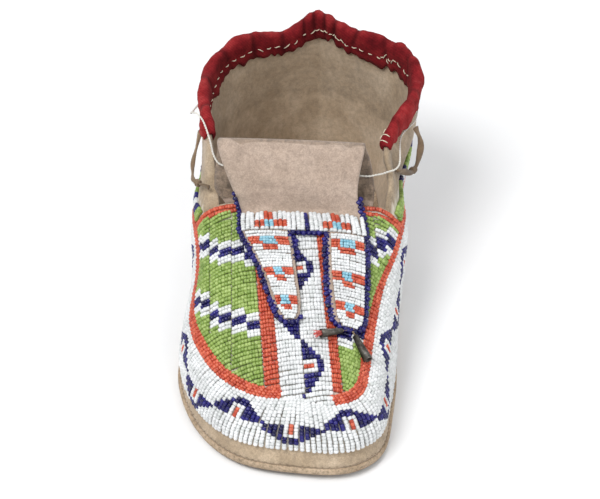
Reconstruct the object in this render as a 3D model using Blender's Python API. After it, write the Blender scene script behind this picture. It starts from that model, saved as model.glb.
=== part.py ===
"""Beaded hide moccasin for the right foot.

Metres, +Z up. The toe points along -Y, the medial side (big toe) is +X, and
the origin is on the floor under the middle of the shoe. Sizes in the tables
are in millimetres.
"""

import math

import bmesh
import bpy
import numpy as np
from mathutils import Vector
from mathutils.bvhtree import BVHTree

MM = 0.001

# Sole
SOLE_THICKNESS = 4.0
SOLE_EDGE_ROUND = 0.9
TOE_SPRING = 3.0
TOE_SPRING_START = -88.0
TOE_SPRING_RUN = 40.0
ARCH_LIFT = 1.4
ARCH_CENTRE = 24.0
ARCH_HALF_LENGTH = 62.0

# Upper
HIDE = 1.8
FOOT_INSET = 3.0
FIT_GAP = 0.3
THROAT_Y = 8.0
COLLAR_FRONT_Y = 36.0
SPINE_FRONT = -82.0
SPINE_BACK = 80.0
SPINE_SOFTNESS = 30.0
SPINE_SPREAD = 8.0

# Beadwork: heights up the wall from the sole seam
BEAD_LAYER = 1.6
MARGIN = 5.0
MARGIN_AT_TOE = 8.0
LANE = 12.0
LANE_AT_TOE = 12.8
PANEL_TOP = 58.0
SHOULDER_AT_TOE = 45.0

# Collar binding
BINDING_GAP = 0.55
CLOTH = 1.1
BINDING_OUTER = 7.5
BINDING_INNER = 11.0

# Tongue
TONGUE_HIDE = 1.5
TONGUE_EDGE = 1.4
SEAM_GAP = 0.85

# Ties and cones
THONG_DIAMETER = 2.0
STRING_DIAMETER = 1.2
STRING_HEIGHT = 73.0
CONE_SIDES = 14
CONE_MOUTH = 2.3
CONE_NECK = 1.3
TIN = 0.45
CONE_THONG = 1.0
# Cones on the medial prong: neck x, y and mouth x, y
CONES = {
    "tin_cone_inner": (25.5, -69.6, 15.6, -74.4),
    "tin_cone_outer": (31.8, -70.4, 38.6, -81.6),
}

# The shoe's own middle, measured in the frame of the tables
PLACE = (1.25, -0.3)

# One row for each section round the foot, from the back of the heel along the
# lateral side to the toe and back along the medial side.
#   x, y    where the edge of the sole crosses the section
#   inset   how far the top of the wall lies inside the foot line, minus outside
#   top     height of the wall's top: the collar edge, or the vamp's shoulder
#   lean    outward lean of the wall where it leaves the sole, degrees
#   turn    direction of the wall at its top, degrees from level, 90 is upright
SECTION_COLUMNS = ("x", "y", "inset", "top", "lean", "turn")
SECTIONS = {
    "heel back": (3.0, 126.0, 1.0, 94.5, 8.0, 84.0),
    "heel back lateral": (-14.0, 123.5, 0.5, 84.5, 7.0, 88.0),
    "heel lateral": (-28.5, 112.0, -4.5, 86.5, 10.0, 92.0),
    "ankle lateral back": (-37.0, 92.0, -12.5, 85.5, 15.0, 96.0),
    "ankle lateral": (-41.0, 66.0, -14.5, 84.0, 20.0, 94.0),
    "quarter front lateral": (-44.5, 36.0, -4.0, 79.0, 23.0, 74.0),
    "throat lateral": (-47.5, 8.0, 5.0, 58.0, 23.0, 22.0),
    "instep lateral": (-50.5, -20.0, 9.0, 47.5, 13.0, 32.0),
    "ball lateral": (-55.0, -50.0, 10.0, 38.0, 6.0, 36.0),
    "toe lateral": (-51.0, -76.0, 9.5, 32.5, 4.0, 38.0),
    "toe diagonal": (-38.0, -103.5, 9.0, 28.5, 2.0, 40.0),
    "toe front lateral": (-20.0, -120.5, 9.0, 26.5, 0.0, 40.0),
    "toe front": (8.0, -127.0, 9.0, 26.0, 0.0, 40.0),
    "toe front medial": (32.0, -125.2, 8.5, 26.5, 0.0, 40.0),
    "toe medial corner": (45.5, -113.0, 8.5, 28.0, 1.0, 40.0),
    "toe medial": (50.5, -88.0, 8.5, 31.5, 3.0, 38.0),
    "ball medial": (51.5, -58.0, 8.5, 37.0, 6.0, 36.0),
    "instep medial": (49.0, -22.0, 6.0, 47.5, 17.0, 32.0),
    "throat medial": (45.5, 8.0, 0.5, 58.0, 25.0, 26.0),
    "quarter front medial": (43.0, 36.0, -1.5, 79.0, 26.0, 72.0),
    "ankle medial": (40.5, 66.0, -17.5, 84.5, 22.0, 94.0),
    "ankle medial back": (37.5, 92.0, -17.0, 87.5, 16.0, 96.0),
    "heel medial": (28.5, 113.0, -5.5, 86.5, 10.0, 92.0),
    "heel back medial": (18.0, 122.5, -0.5, 87.5, 7.0, 88.0),
}

# Height of the vamp's ridge along the foot: y, z
RIDGE = {
    "toe": (-84.0, 41.0),
    "ball": (-55.0, 46.5),
    "waist": (-25.0, 52.5),
    "throat": (10.0, 60.0),
}

# Columns of the shell: from toe tip to throat, and from throat to heel
VAMP_COLUMNS = 20
QUARTER_COLUMNS = 20


def closed_spline(rows):
    """A smooth closed curve through the rows, as (parameters, sampler)."""
    count = len(rows)
    step = np.linalg.norm((np.roll(rows, -1, 0) - rows)[:, :2], axis=1)
    before = np.roll(step, 1)
    matrix = np.zeros((count, count))
    slopes = (np.roll(rows, -1, 0) - rows) / step[:, None]
    for i in range(count):
        matrix[i, i] = 2 * (before[i] + step[i])
        matrix[i, (i + 1) % count] += step[i]
        matrix[i, i - 1] += before[i]
    bend = np.linalg.solve(matrix, 6 * (slopes - np.roll(slopes, 1, 0)))
    knots = np.concatenate([[0], np.cumsum(step)])

    def sample(at):
        at = np.mod(at, knots[-1])
        i = np.clip(np.searchsorted(knots, at, "right") - 1, 0, count - 1)
        j = (i + 1) % count
        h = step[i][:, None]
        a = (knots[i + 1] - at)[:, None]
        b = (at - knots[i])[:, None]
        return (
            (bend[i] * a**3 + bend[j] * b**3) / (6 * h)
            + (rows[i] / h - bend[i] * h / 6) * a
            + (rows[j] / h - bend[j] * h / 6) * b
        )

    return knots, sample


def smooth_max(value, floor, softness):
    return floor + 0.5 * (value - floor + np.hypot(value - floor, softness))


def hermite(start, end, leave, arrive, count):
    """Points of a cubic from start to end with the two end directions."""
    t = np.linspace(0, 1, count)[:, None]
    return (
        (2 * t**3 - 3 * t**2 + 1) * start
        + (t**3 - 2 * t**2 + t) * leave
        + (-2 * t**3 + 3 * t**2) * end
        + (t**3 - t**2) * arrive
    )


def sole_underside(x, y):
    """Height of the sole's underside: the toe spring and the shallow arch."""
    toe = np.clip((TOE_SPRING_START - y) / TOE_SPRING_RUN, 0, None)
    arch = np.clip(1 - ((y - ARCH_CENTRE) / ARCH_HALF_LENGTH) ** 2, 0, None)
    side = 0.6 + 0.4 * np.clip(x / 40.0, -1, 1)
    return TOE_SPRING * toe**2 + ARCH_LIFT * arch**2 * side


class Last:
    """The shape of the foot: its outline, its spine and the ribs of its wall."""

    def __init__(self):
        rows = np.array(list(SECTIONS.values()))
        knots, self.sample = closed_spline(rows)
        names = list(SECTIONS)
        toe = knots[names.index("toe front")]
        heel = knots[names.index("heel back")]
        lateral = self.crossing(knots[names.index("throat lateral")], THROAT_Y)
        medial = self.crossing(knots[names.index("throat medial")], THROAT_Y)
        front = np.linspace(0, 1, VAMP_COLUMNS + 1)
        back = np.linspace(0, 1, QUARTER_COLUMNS + 1)[1:]
        end = heel + knots[-1]
        self.lateral = np.concatenate(
            [toe + (lateral - toe) * front, lateral + (heel - lateral) * back]
        )
        self.medial = np.concatenate(
            [toe + (medial - toe) * front, medial + (end - medial) * back]
        )
        a, b = self.sample(self.lateral), self.sample(self.medial)
        self.spine = 0.5 * (a + b)[:, :2]
        y = smooth_max(self.spine[:, 1], SPINE_FRONT, SPINE_SOFTNESS)
        y = -smooth_max(-y, -SPINE_BACK, SPINE_SOFTNESS)
        toward_toe = np.clip(1 - np.arange(len(y)) / VAMP_COLUMNS, 0, None)
        toward_heel = np.clip(np.arange(len(y)) / VAMP_COLUMNS - 1, 0, None)
        self.spine[:, 1] = y + SPINE_SPREAD * (toward_heel**2 - toward_toe**2)
        ridge = np.array(list(RIDGE.values()))
        self.ridge = np.polyfit(ridge[:, 0], ridge[:, 1], 3)

    def crossing(self, near, y):
        """The parameter close to a section where the outline crosses y."""
        around = near + np.linspace(-30, 30, 1201)
        return around[np.argmin(np.abs(self.sample(around)[:, 1] - y))]

    def rib(self, parameter, centre, over):
        """One rib of the wall as dense points: up the side, and over if asked."""
        x, y, inset, top, lean, turn = self.sample(np.array([parameter]))[0]
        inward = centre - np.array([x, y])
        reach = np.hypot(*inward)
        inward = inward / reach
        lean, turn = math.radians(lean), math.radians(turn)
        foot = np.array([0, SOLE_THICKNESS + FIT_GAP])
        shoulder = np.array([inset, top])
        chord = np.hypot(*(shoulder - foot))
        leave = chord * np.array([-math.sin(lean), math.cos(lean)])
        arrive = chord * np.array([math.cos(turn), math.sin(turn)])
        rib = hermite(foot, shoulder, leave, arrive, 81)
        if over:
            end = np.array([reach - FOOT_INSET, np.polyval(self.ridge, centre[1])])
            slope = np.polyval(np.polyder(self.ridge), centre[1]) * inward[1]
            chord = np.hypot(*(end - shoulder))
            leave = chord * np.array([math.cos(turn), math.sin(turn)])
            arrive = chord * np.array([1.0, slope])
            rib = np.vstack([rib, hermite(shoulder, end, leave, arrive, 81)[1:]])
        plan = np.array([x, y]) + np.outer(rib[:, 0] + FOOT_INSET, inward)
        lift = sole_underside(plan[0, 0], plan[0, 1])
        fade = np.clip(1 - (rib[:, 1] - rib[0, 1]) / 30.0, 0, 1)
        return np.column_stack([plan, rib[:, 1] + lift * fade])


def at_heights(rib, heights):
    """Points of a rib at distances up the wall, measured along it."""
    along = np.concatenate(
        [[0], np.cumsum(np.linalg.norm(np.diff(rib, axis=0), axis=1))]
    )
    heights = np.where(np.isinf(heights), along[-1], heights)
    return np.column_stack([np.interp(heights, along, rib[:, i]) for i in range(3)])


def length_of(rib):
    return np.linalg.norm(np.diff(rib, axis=0), axis=1).sum()


def side_heights(k, shoulder, wall):
    """Row heights shared by every rib, from the sole seam to the wall's top."""
    toe = 0.5 + 0.5 * math.cos(math.pi * min(1.0, k / (0.7 * VAMP_COLUMNS)))
    margin = MARGIN + (MARGIN_AT_TOE - MARGIN) * toe
    lane = LANE + (LANE_AT_TOE - LANE) * toe
    top = margin + 2 * lane
    low = [0, margin, margin + lane, top, 0.5 * (top + shoulder), shoulder]
    band = min(BINDING_INNER, 0.4 * (wall - shoulder))
    return low + [wall - band, wall]


class Sheet:
    """The upper's outer face as a grid of points, with the normals there."""

    def __init__(self, last):
        self.points, self.quads = [], []
        self.edge_rows = 7
        self.over_rows = 5
        throat = VAMP_COLUMNS
        final = throat + QUARTER_COLUMNS
        self.index = {}
        for side, parameters in (("lateral", last.lateral), ("medial", last.medial)):
            for k, parameter in enumerate(parameters):
                over = k <= throat
                rib = last.rib(parameter, last.spine[k], over)
                wall = length_of(last.rib(parameter, last.spine[k], False))
                if over:
                    ease = (k / throat) ** 0.7
                    shoulder = SHOULDER_AT_TOE + (PANEL_TOP - SHOULDER_AT_TOE) * ease
                    low = side_heights(k, shoulder, max(wall, shoulder + 3.0))
                    whole = length_of(rib)
                    spread = (whole - shoulder) / (self.over_rows + 2)
                    even = [shoulder + spread, shoulder + 2 * spread]
                    low[6:] = [
                        (1 - ease) * e + ease * f
                        for e, f in zip(even, low[6:], strict=True)
                    ]
                    high = np.linspace(low[-1], whole, self.over_rows + 1)[1:]
                    heights = np.concatenate([low, high])
                else:
                    heights = np.array(side_heights(k, PANEL_TOP, wall))
                for row, point in enumerate(at_heights(rib, heights)):
                    key = (side, k, row)
                    shared = k in (0, final) or row > self.edge_rows + 4
                    if shared and side == "medial":
                        self.index[key] = self.index[("lateral", k, row)]
                        continue
                    if row > self.edge_rows + 4:
                        point[:2] = last.spine[k]
                    self.index[key] = len(self.points)
                    self.points.append(point)
        for side in ("lateral", "medial"):
            for k in range(final):
                rows = self.edge_rows + (self.over_rows if k < throat else 0)
                for row in range(rows):
                    quad = [(k, row), (k + 1, row), (k + 1, row + 1), (k, row + 1)]
                    ring = [self.index[(side, *corner)] for corner in quad]
                    if side == "lateral":
                        ring.reverse()
                    self.quads.append(((side, k, row), ring))
        self.points = np.array(self.points)
        self.normals = vertex_normals(self.points, [ring for _, ring in self.quads])

    def part(self, keep):
        """The quads whose (side, column, row) the test keeps."""
        return [ring for place, ring in self.quads if keep(*place)]


def vertex_normals(points, quads):
    """Area-weighted normals of the points."""
    normals = np.zeros_like(points)
    for ring in quads:
        a, b, c, d = points[ring]
        face = np.cross(c - a, d - b)
        for i in ring:
            normals[i] += face
    return normals / np.linalg.norm(normals, axis=1)[:, None]


def open_edges(quads):
    """Directed edges that only one quad uses."""
    edges = {}
    for ring in quads:
        for a, b in zip(ring, ring[1:] + ring[:1], strict=True):
            edges[(a, b)] = edges.get((a, b), 0) + 1
    return [(a, b) for a, b in edges if (b, a) not in edges]


def shell(points, normals, quads, inner, outer, rim=0.0):
    """A closed body between two offsets of a sheet, its rim drawn in by rim."""
    used = sorted({i for ring in quads for i in ring})
    place = {old: new for new, old in enumerate(used)}
    points, normals = points[used].copy(), normals[used]
    quads = [[place[i] for i in ring] for ring in quads]
    border = open_edges(quads)
    if rim:
        on_rim = {i for edge in border for i in edge}
        pull = np.zeros_like(points)
        for ring in quads:
            middle = points[ring].mean(axis=0)
            for i in ring:
                pull[i] += middle - points[i]
        for i in on_rim:
            points[i] += pull[i] * rim / max(np.linalg.norm(pull[i]), 1e-6)
    count = len(points)
    vertices = np.vstack([points + inner * normals, points + outer * normals])
    faces = [[i + count for i in ring] for ring in quads]
    faces += [list(reversed(ring)) for ring in quads]
    faces += [[b, b + count, a + count, a][::-1] for a, b in border]
    return vertices, faces


def material(name, colour, roughness, metallic=0.0):
    made = bpy.data.materials.new(name)
    made.use_nodes = True
    shader = made.node_tree.nodes["Principled BSDF"]
    shader.inputs["Base Color"].default_value = (*colour, 1.0)
    shader.inputs["Roughness"].default_value = roughness
    shader.inputs["Metallic"].default_value = metallic
    return made


def add_solid(name, vertices, faces, surface, sharp=40):
    """A mesh object from points in millimetres, triangulated, normals out."""
    shift = np.array([PLACE[0], PLACE[1], 0.0])
    mesh = bpy.data.meshes.new(name)
    mesh.from_pydata(((np.asarray(vertices) - shift) * MM).tolist(), [], faces)
    work = bmesh.new()
    work.from_mesh(mesh)
    bmesh.ops.triangulate(work, faces=work.faces[:])
    bmesh.ops.recalc_face_normals(work, faces=work.faces[:])
    if work.calc_volume(signed=True) < 0:
        bmesh.ops.reverse_faces(work, faces=work.faces[:])
    work.to_mesh(mesh)
    work.free()
    mesh.shade_smooth()
    mesh.set_sharp_from_angle(angle=math.radians(sharp))
    mesh.materials.append(surface)
    made = bpy.data.objects.new(name, mesh)
    bpy.context.scene.collection.objects.link(made)
    return made


def add_cord(name, route, diameter, surface, count):
    """A tube along a smooth curve through the route's points, caps filled."""
    curve = bpy.data.curves.new(name, "CURVE")
    curve.dimensions = "3D"
    curve.bevel_depth = 0.5 * diameter * MM
    curve.bevel_resolution = 2
    curve.use_fill_caps = True
    line = curve.splines.new("POLY")
    points = smooth_route(np.array(route, dtype=float), count)
    line.points.add(len(points) - 1)
    for spot, point in zip(line.points, points, strict=True):
        spot.co = (
            (point[0] - PLACE[0]) * MM,
            (point[1] - PLACE[1]) * MM,
            point[2] * MM,
            1.0,
        )
    curve.materials.append(surface)
    made = bpy.data.objects.new(name, curve)
    bpy.context.scene.collection.objects.link(made)
    return made


def smooth_route(route, count):
    """Evenly spaced points on a Catmull-Rom curve through the route."""
    ends = np.vstack([2 * route[0] - route[1], route, 2 * route[-1] - route[-2]])
    fine = []
    for i in range(1, len(ends) - 2):
        t = np.linspace(0, 1, 25)[:-1, None]
        p, q, r, s = ends[i - 1 : i + 3]
        fine.append(
            0.5
            * (
                2 * q
                + (r - p) * t
                + (2 * p - 5 * q + 4 * r - s) * t**2
                + (3 * q - p - 3 * r + s) * t**3
            )
        )
    fine = np.vstack([*fine, route[-1:]])
    along = np.concatenate(
        [[0], np.cumsum(np.linalg.norm(np.diff(fine, axis=0), axis=1))]
    )
    even = np.linspace(0, along[-1], count)
    return np.column_stack([np.interp(even, along, fine[:, i]) for i in range(3)])


def make_sole(last, surface):
    """Rawhide outsole: rings from the edge to the spine, closed along it."""
    parameters = np.concatenate([last.lateral, last.medial[-2:0:-1]])
    columns = list(range(len(last.lateral)))
    columns += list(range(len(last.medial) - 2, 0, -1))
    edge = last.sample(parameters)[:, :2]
    centre = last.spine[columns]
    round_ = SOLE_EDGE_ROUND
    # share of the way to the spine, extra inset, height through the sole
    rings = (
        ("under spine", 1.0, 0.0, 0.0),
        ("under middle", 0.5, 0.0, 0.0),
        ("under edge", 0.0, 1.6 * round_, 0.0),
        ("edge low", 0.0, 0.25 * round_, 0.3 * SOLE_THICKNESS),
        ("edge high", 0.0, 0.0, SOLE_THICKNESS - 1.1 * round_),
        ("top edge", 0.0, round_, SOLE_THICKNESS),
        ("top middle", 0.5, 0.0, SOLE_THICKNESS),
        ("top spine", 1.0, 0.0, SOLE_THICKNESS),
    )
    count = len(parameters)
    inward = centre - edge
    reach = np.linalg.norm(inward, axis=1)[:, None]
    vertices, faces = [], []
    for _, share, inset, height in rings:
        plan = edge + inward * share + inward / reach * inset
        z = sole_underside(plan[:, 0], plan[:, 1]) + height
        vertices.append(np.column_stack([plan, z]))
    for ring in range(len(rings) - 1):
        for i in range(count):
            j = (i + 1) % count
            low, high = ring * count, (ring + 1) * count
            faces.append([low + i, low + j, high + j, high + i])
    made = add_solid("sole", np.vstack(vertices), faces, surface)
    weld(made)
    return made


def weld(made):
    """Joins the points that the two sides share along the spine."""
    work = bmesh.new()
    work.from_mesh(made.data)
    bmesh.ops.remove_doubles(work, verts=work.verts[:], dist=1e-5)
    bmesh.ops.dissolve_degenerate(work, edges=work.edges[:], dist=1e-6)
    bmesh.ops.recalc_face_normals(work, faces=work.faces[:])
    if work.calc_volume(signed=True) < 0:
        bmesh.ops.reverse_faces(work, faces=work.faces[:])
    work.to_mesh(made.data)
    work.free()


def make_binding(sheet, surface):
    """Cloth channel over the collar edge, from one quarter front to the other."""
    top, below = sheet.edge_rows, sheet.edge_rows - 1
    final = VAMP_COLUMNS + QUARTER_COLUMNS
    first = next(
        k
        for k in range(VAMP_COLUMNS, final)
        if sheet.points[sheet.index[("lateral", k, top)]][1] > COLLAR_FRONT_Y
    )
    run = [("lateral", k) for k in range(first, final + 1)]
    run += [("medial", k) for k in range(final - 1, first - 1, -1)]
    rings = []
    for side, k in run:
        high = sheet.index[(side, k, top)]
        low = sheet.index[(side, k, below)]
        edge, normal = sheet.points[high], sheet.normals[high]
        drop = sheet.points[low] - edge
        reach = np.linalg.norm(drop)
        low_normal = sheet.normals[low]

        def spot(down, off, edge=edge, drop=drop, reach=reach, n=normal, m=low_normal):
            share = down / reach
            return edge + drop * share + off * ((1 - share) * n + share * m)

        inside = -HIDE - BINDING_GAP
        rings.append(
            [
                spot(BINDING_OUTER, BINDING_GAP),
                spot(-BINDING_GAP, BINDING_GAP),
                spot(-BINDING_GAP, inside),
                spot(BINDING_INNER, inside),
                spot(BINDING_INNER, inside - CLOTH),
                spot(-0.4 * CLOTH, inside - CLOTH),
                spot(-BINDING_GAP - CLOTH, -0.5 * HIDE),
                spot(-0.4 * CLOTH, BINDING_GAP + CLOTH),
                spot(BINDING_OUTER, BINDING_GAP + CLOTH),
            ]
        )
    sides = len(rings[0])
    vertices = np.array(rings).reshape(-1, 3)
    faces = []
    for i in range(len(rings) - 1):
        for j in range(sides):
            n = (j + 1) % sides
            faces.append(
                [i * sides + j, i * sides + n, (i + 1) * sides + n, (i + 1) * sides + j]
            )
    # The channel's ends: three planar pieces each, outer leg, top and inner leg
    for start in (0, (len(rings) - 1) * sides):
        faces.append([start + i for i in (0, 1, 7, 8)])
        faces.append([start + i for i in (1, 2, 5, 6, 7)])
        faces.append([start + i for i in (2, 3, 4, 5)])
    return add_solid("collar_binding", vertices, faces, surface)


# The tongue from its seam at the throat, up, over the fold and down the vamp.
#   y, z          the inner face of the hide at the middle of the tongue
#   left, right   its edges
#   slit_l, slit_r   the sides of the slit between the prongs
# A z of 0 means that the row lies on the beaded vamp.
TONGUE_COLUMNS = ("y", "z", "left", "slit_l", "slit_r", "right")
TONGUE = {
    "seam": (10.2, 57.5, -36.0, -4.0, 12.0, 36.0),
    "back low": (12.0, 69.0, -37.0, -4.0, 12.0, 34.0),
    "back high": (16.5, 80.0, -38.5, -4.0, 12.0, 32.0),
    "fold back": (19.0, 87.0, -39.5, -4.0, 12.0, 31.5),
    "fold top": (17.4, 90.6, -39.5, -4.0, 12.0, 31.5),
    "fold front": (14.0, 89.4, -39.5, -4.0, 12.0, 31.5),
    "front high": (9.6, 81.5, -37.0, -4.0, 12.0, 31.0),
    "front low": (5.2, 72.0, -32.5, -4.0, 12.5, 29.8),
    "touch": (1.5, 0.0, -27.5, -3.8, 13.5, 31.0),
    "slit top": (-11.5, 0.0, -26.0, -3.0, 15.0, 33.0),
    "prong high": (-24.0, 0.0, -20.5, -0.5, 16.2, 34.0),
    "prong middle": (-40.0, 0.0, -13.5, 2.2, 17.4, 34.3),
    "prong low": (-54.0, 0.0, -8.8, 4.6, 19.2, 34.6),
    "prong end": (-62.5, 0.0, -5.4, 4.8, 21.0, 34.0),
    "prong tip": (-67.5, 0.0, -2.4, 3.2, 24.5, 31.0),
}
SLIT_ROW = "slit top"
BAND_ROW = "touch"


def make_tongue(sheet, height, hide, beads):
    """The folded, forked tongue, and the beaded skin of its band and prongs."""
    names = list(TONGUE)
    slit, band = names.index(SLIT_ROW), names.index(BAND_ROW)
    throat = [("lateral", row) for row in range(5, 13)]
    throat += [("medial", row) for row in range(11, 4, -1)]
    rim = np.array(
        [sheet.points[sheet.index[(s, VAMP_COLUMNS, r)]] for s, r in throat]
    )
    rim_normal = np.array(
        [sheet.normals[sheet.index[(s, VAMP_COLUMNS, r)]] for s, r in throat]
    )
    points = []
    for row, (y, z, left, slit_l, slit_r, right) in enumerate(TONGUE.values()):
        across = np.concatenate(
            [np.linspace(left, slit_l, 4), np.linspace(slit_r, right, 4)]
        )
        for x in across:
            sag = 0.0
            if names[row] == "seam":
                here = np.array([np.interp(x, rim[:, 0], rim[:, i]) for i in (1, 2)])
                up = np.interp(x, rim[:, 0], rim_normal[:, 2])
                points.append((x, here[0] + SEAM_GAP, here[1] - 1.0 * up))
                continue
            if z == 0.0:
                sag = height(x, y) + 0.55
            else:
                middle = 0.5 * (left + right)
                half = 0.5 * (right - left)
                drop = {"back low": 4.0, "front low": 2.5, "front high": 1.0}
                sag = z - drop.get(names[row], 0.5) * ((x - middle) / half) ** 2
            points.append((x, y, sag))
    points = np.array(points)
    quads, beaded = [], []
    for row in range(len(names) - 1):
        for k in range(7):
            if k == 3 and row >= slit:
                continue
            a = row * 8 + k
            ring = [a, a + 8, a + 9, a + 1]
            quads.append(ring)
            if row >= band:
                beaded.append(ring)
    normals = vertex_normals(points, quads)
    if normals[-1][2] < 0:
        quads = [ring[::-1] for ring in quads]
        beaded = [ring[::-1] for ring in beaded]
        normals = -normals
    add_solid("tongue", *shell(points, normals, quads, 0.0, TONGUE_HIDE), hide)
    low = TONGUE_HIDE + FIT_GAP
    body = shell(points, normals, beaded, low, low + BEAD_LAYER, TONGUE_EDGE)
    add_solid("tongue_beadwork", *body, beads)


def height_finder(over):
    """Reads the height of a piece's upper face above a point, in millimetres."""
    tree = BVHTree.FromObject(over, bpy.context.evaluated_depsgraph_get())

    def height(x, y):
        start = Vector(((x - PLACE[0]) * MM, (y - PLACE[1]) * MM, 0.2))
        return tree.ray_cast(start, Vector((0, 0, -1)))[0].z / MM

    return height


def make_cone(name, height, tin, leather):
    """A rolled tin cone lying on the vamp, and the thong that it hangs on."""
    x0, y0, x1, y1 = CONES[name]
    neck = np.array([x0, y0, height(x0, y0) + CONE_NECK + 0.9])
    mouth = np.array([x1, y1, height(x1, y1) + CONE_MOUTH + 0.5])
    axis = (mouth - neck) / np.linalg.norm(mouth - neck)
    side = np.cross(axis, [0, 0, 1.0])
    side /= np.linalg.norm(side)
    up = np.cross(side, axis)
    vertices, faces = [], []
    rings = (
        (neck, CONE_NECK - TIN),
        (neck, CONE_NECK),
        (mouth, CONE_MOUTH),
        (mouth, CONE_MOUTH - TIN),
    )
    for centre, radius in rings:
        for i in range(CONE_SIDES):
            turn = 2 * math.pi * i / CONE_SIDES
            vertices.append(
                centre + radius * (math.cos(turn) * side + math.sin(turn) * up)
            )
    for ring in range(len(rings)):
        after = (ring + 1) % len(rings)
        for i in range(CONE_SIDES):
            j = (i + 1) % CONE_SIDES
            a, b = ring * CONE_SIDES, after * CONE_SIDES
            faces.append([a + i, a + j, b + j, b + i])
    add_solid(name, vertices, faces, tin)
    start = neck - 2.6 * axis + np.array([0, 0, 0.15])
    route = [start, neck - 1.2 * axis, neck + 1.5 * axis, neck + 4.0 * axis]
    add_cord(name.replace("tin_cone", "cone_thong"), route, CONE_THONG, leather, 5)


def wall_route(sheet, stops):
    """Points off the quarters' wall: side, column, height and gap of each stop."""
    route = []
    for side, k, z, off in stops:
        rows = [sheet.index[(side, k, r)] for r in range(sheet.edge_rows + 1)]
        at = np.interp(z, sheet.points[rows, 2], np.arange(len(rows)))
        low, share = int(at), at - int(at)
        high = min(low + 1, len(rows) - 1)
        a, b = rows[low], rows[high]
        point = (1 - share) * sheet.points[a] + share * sheet.points[b]
        normal = (1 - share) * sheet.normals[a] + share * sheet.normals[b]
        route.append(point + off * normal)
    return route


def make_ties(sheet, string, leather):
    """The string round the quarters and under the tongue's fold, and the thongs."""
    final = VAMP_COLUMNS + QUARTER_COLUMNS
    clear = 0.5 * STRING_DIAMETER + 0.7
    front = [(-6.0, 12.6, 77.0), (10.0, 12.4, 76.5), (24.0, 12.6, 76.0)]
    front += [(33.0, 13.0, 75.2), (37.5, 15.2, 74.6), (42.0, 18.5, 73.8)]
    front += [(48.0, 26.0, 73.0)]
    outside = [("medial", k, STRING_HEIGHT, clear) for k in range(26, final, 2)]
    outside += [("lateral", k, STRING_HEIGHT, clear) for k in range(final, 29, -2)]
    back = [(-56.2, 61.0, 75.5), (-56.0, 53.0, 80.5), (-53.0, 46.5, 84.6)]
    back += [(-49.0, 39.0, 85.2), (-44.8, 27.0, 82.6), (-42.3, 18.2, 80.4)]
    back += [(-38.0, 13.2, 78.6)]
    back += [(-26.0, 12.2, 77.6), (-9.0, 12.4, 77.0)]
    route = front + wall_route(sheet, outside) + back
    add_cord("tie_string", route, STRING_DIAMETER, string, 78)
    off = 0.5 * THONG_DIAMETER + 0.5
    stops = [
        ("lateral", 26, 71.0, off),
        ("lateral", 25, 67.0, off + 1.4),
        ("lateral", 24, 62.5, off + 2.8),
        ("lateral", 23, 60.5, off + 3.0),
        ("lateral", 22, 60.8, off + 2.8),
        ("lateral", 21, 62.4, off + 2.6),
    ]
    add_cord("thong_lateral", wall_route(sheet, stops), THONG_DIAMETER, leather, 10)
    stops = [
        ("medial", 23, 67.5, off + 0.3),
        ("medial", 24, 61.0, off + 2.8),
        ("medial", 25, 57.0, off + 4.0),
        ("medial", 26, 58.0, off + 5.2),
        ("medial", 27, 66.0, off + 4.5),
        ("medial", 27, 75.0, off + 4.0),
    ]
    add_cord("thong_medial", wall_route(sheet, stops), THONG_DIAMETER, leather, 14)


def clear_scene():
    for old in list(bpy.data.objects):
        bpy.data.objects.remove(old, do_unlink=True)


def main():
    clear_scene()
    rawhide = material("rawhide", (0.48, 0.34, 0.20), 0.75)
    hide = material("tanned_hide", (0.46, 0.35, 0.23), 0.9)
    suede = material("tongue_suede", (0.51, 0.38, 0.29), 0.95)
    white = material("white_beads", (0.78, 0.80, 0.80), 0.3)
    green = material("green_beads", (0.27, 0.48, 0.07), 0.3)
    red = material("red_cloth", (0.38, 0.03, 0.03), 0.95)
    tin = material("tin", (0.10, 0.085, 0.07), 0.45, 0.9)
    string = material("white_string", (0.80, 0.78, 0.74), 0.9)

    last = Last()
    sheet = Sheet(last)
    throat = VAMP_COLUMNS
    make_sole(last, rawhide)
    body = shell(sheet.points, sheet.normals, sheet.part(lambda s, k, r: True), -HIDE, 0)
    add_solid("upper", *body, hide)

    def beadwork(name, keep, surface):
        low = FIT_GAP
        quads = sheet.part(keep)
        parts = shell(
            sheet.points, sheet.normals, quads, low, low + BEAD_LAYER, 0.5 * FIT_GAP
        )
        return add_solid(name, *parts, surface)

    beadwork("border_beadwork", lambda s, k, r: 1 <= r < 3, white)
    vamp = beadwork("vamp_beadwork", lambda s, k, r: k < throat and r >= 3, green)
    beadwork("quarter_beadwork", lambda s, k, r: k >= throat and 3 <= r < 5, green)
    make_binding(sheet, red)
    height = height_finder(vamp)
    make_tongue(sheet, height, suede, white)
    for name in CONES:
        make_cone(name, height, tin, suede)
    make_ties(sheet, string, suede)


main()
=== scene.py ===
"""Looks of the beaded moccasin: its hide, rawhide, cloth, tin and ties, and every bead.

Lengths are millimetres in the shoe's own frame, +Z up, toe towards -Y and the
medial side +X. MM turns them into metres, and PLACE sets the tables' outline on
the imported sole.

A place on the shoe's wall is a side, a column and a height: column 0 is at the
toe, VAMP_COLUMNS at the throat and LAST_COLUMN at the heel, and the height runs
up the wall from its foot on the sole.
"""

import math

import bmesh
import bpy
import numpy as np
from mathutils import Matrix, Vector
from mathutils.bvhtree import BVHTree


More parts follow.
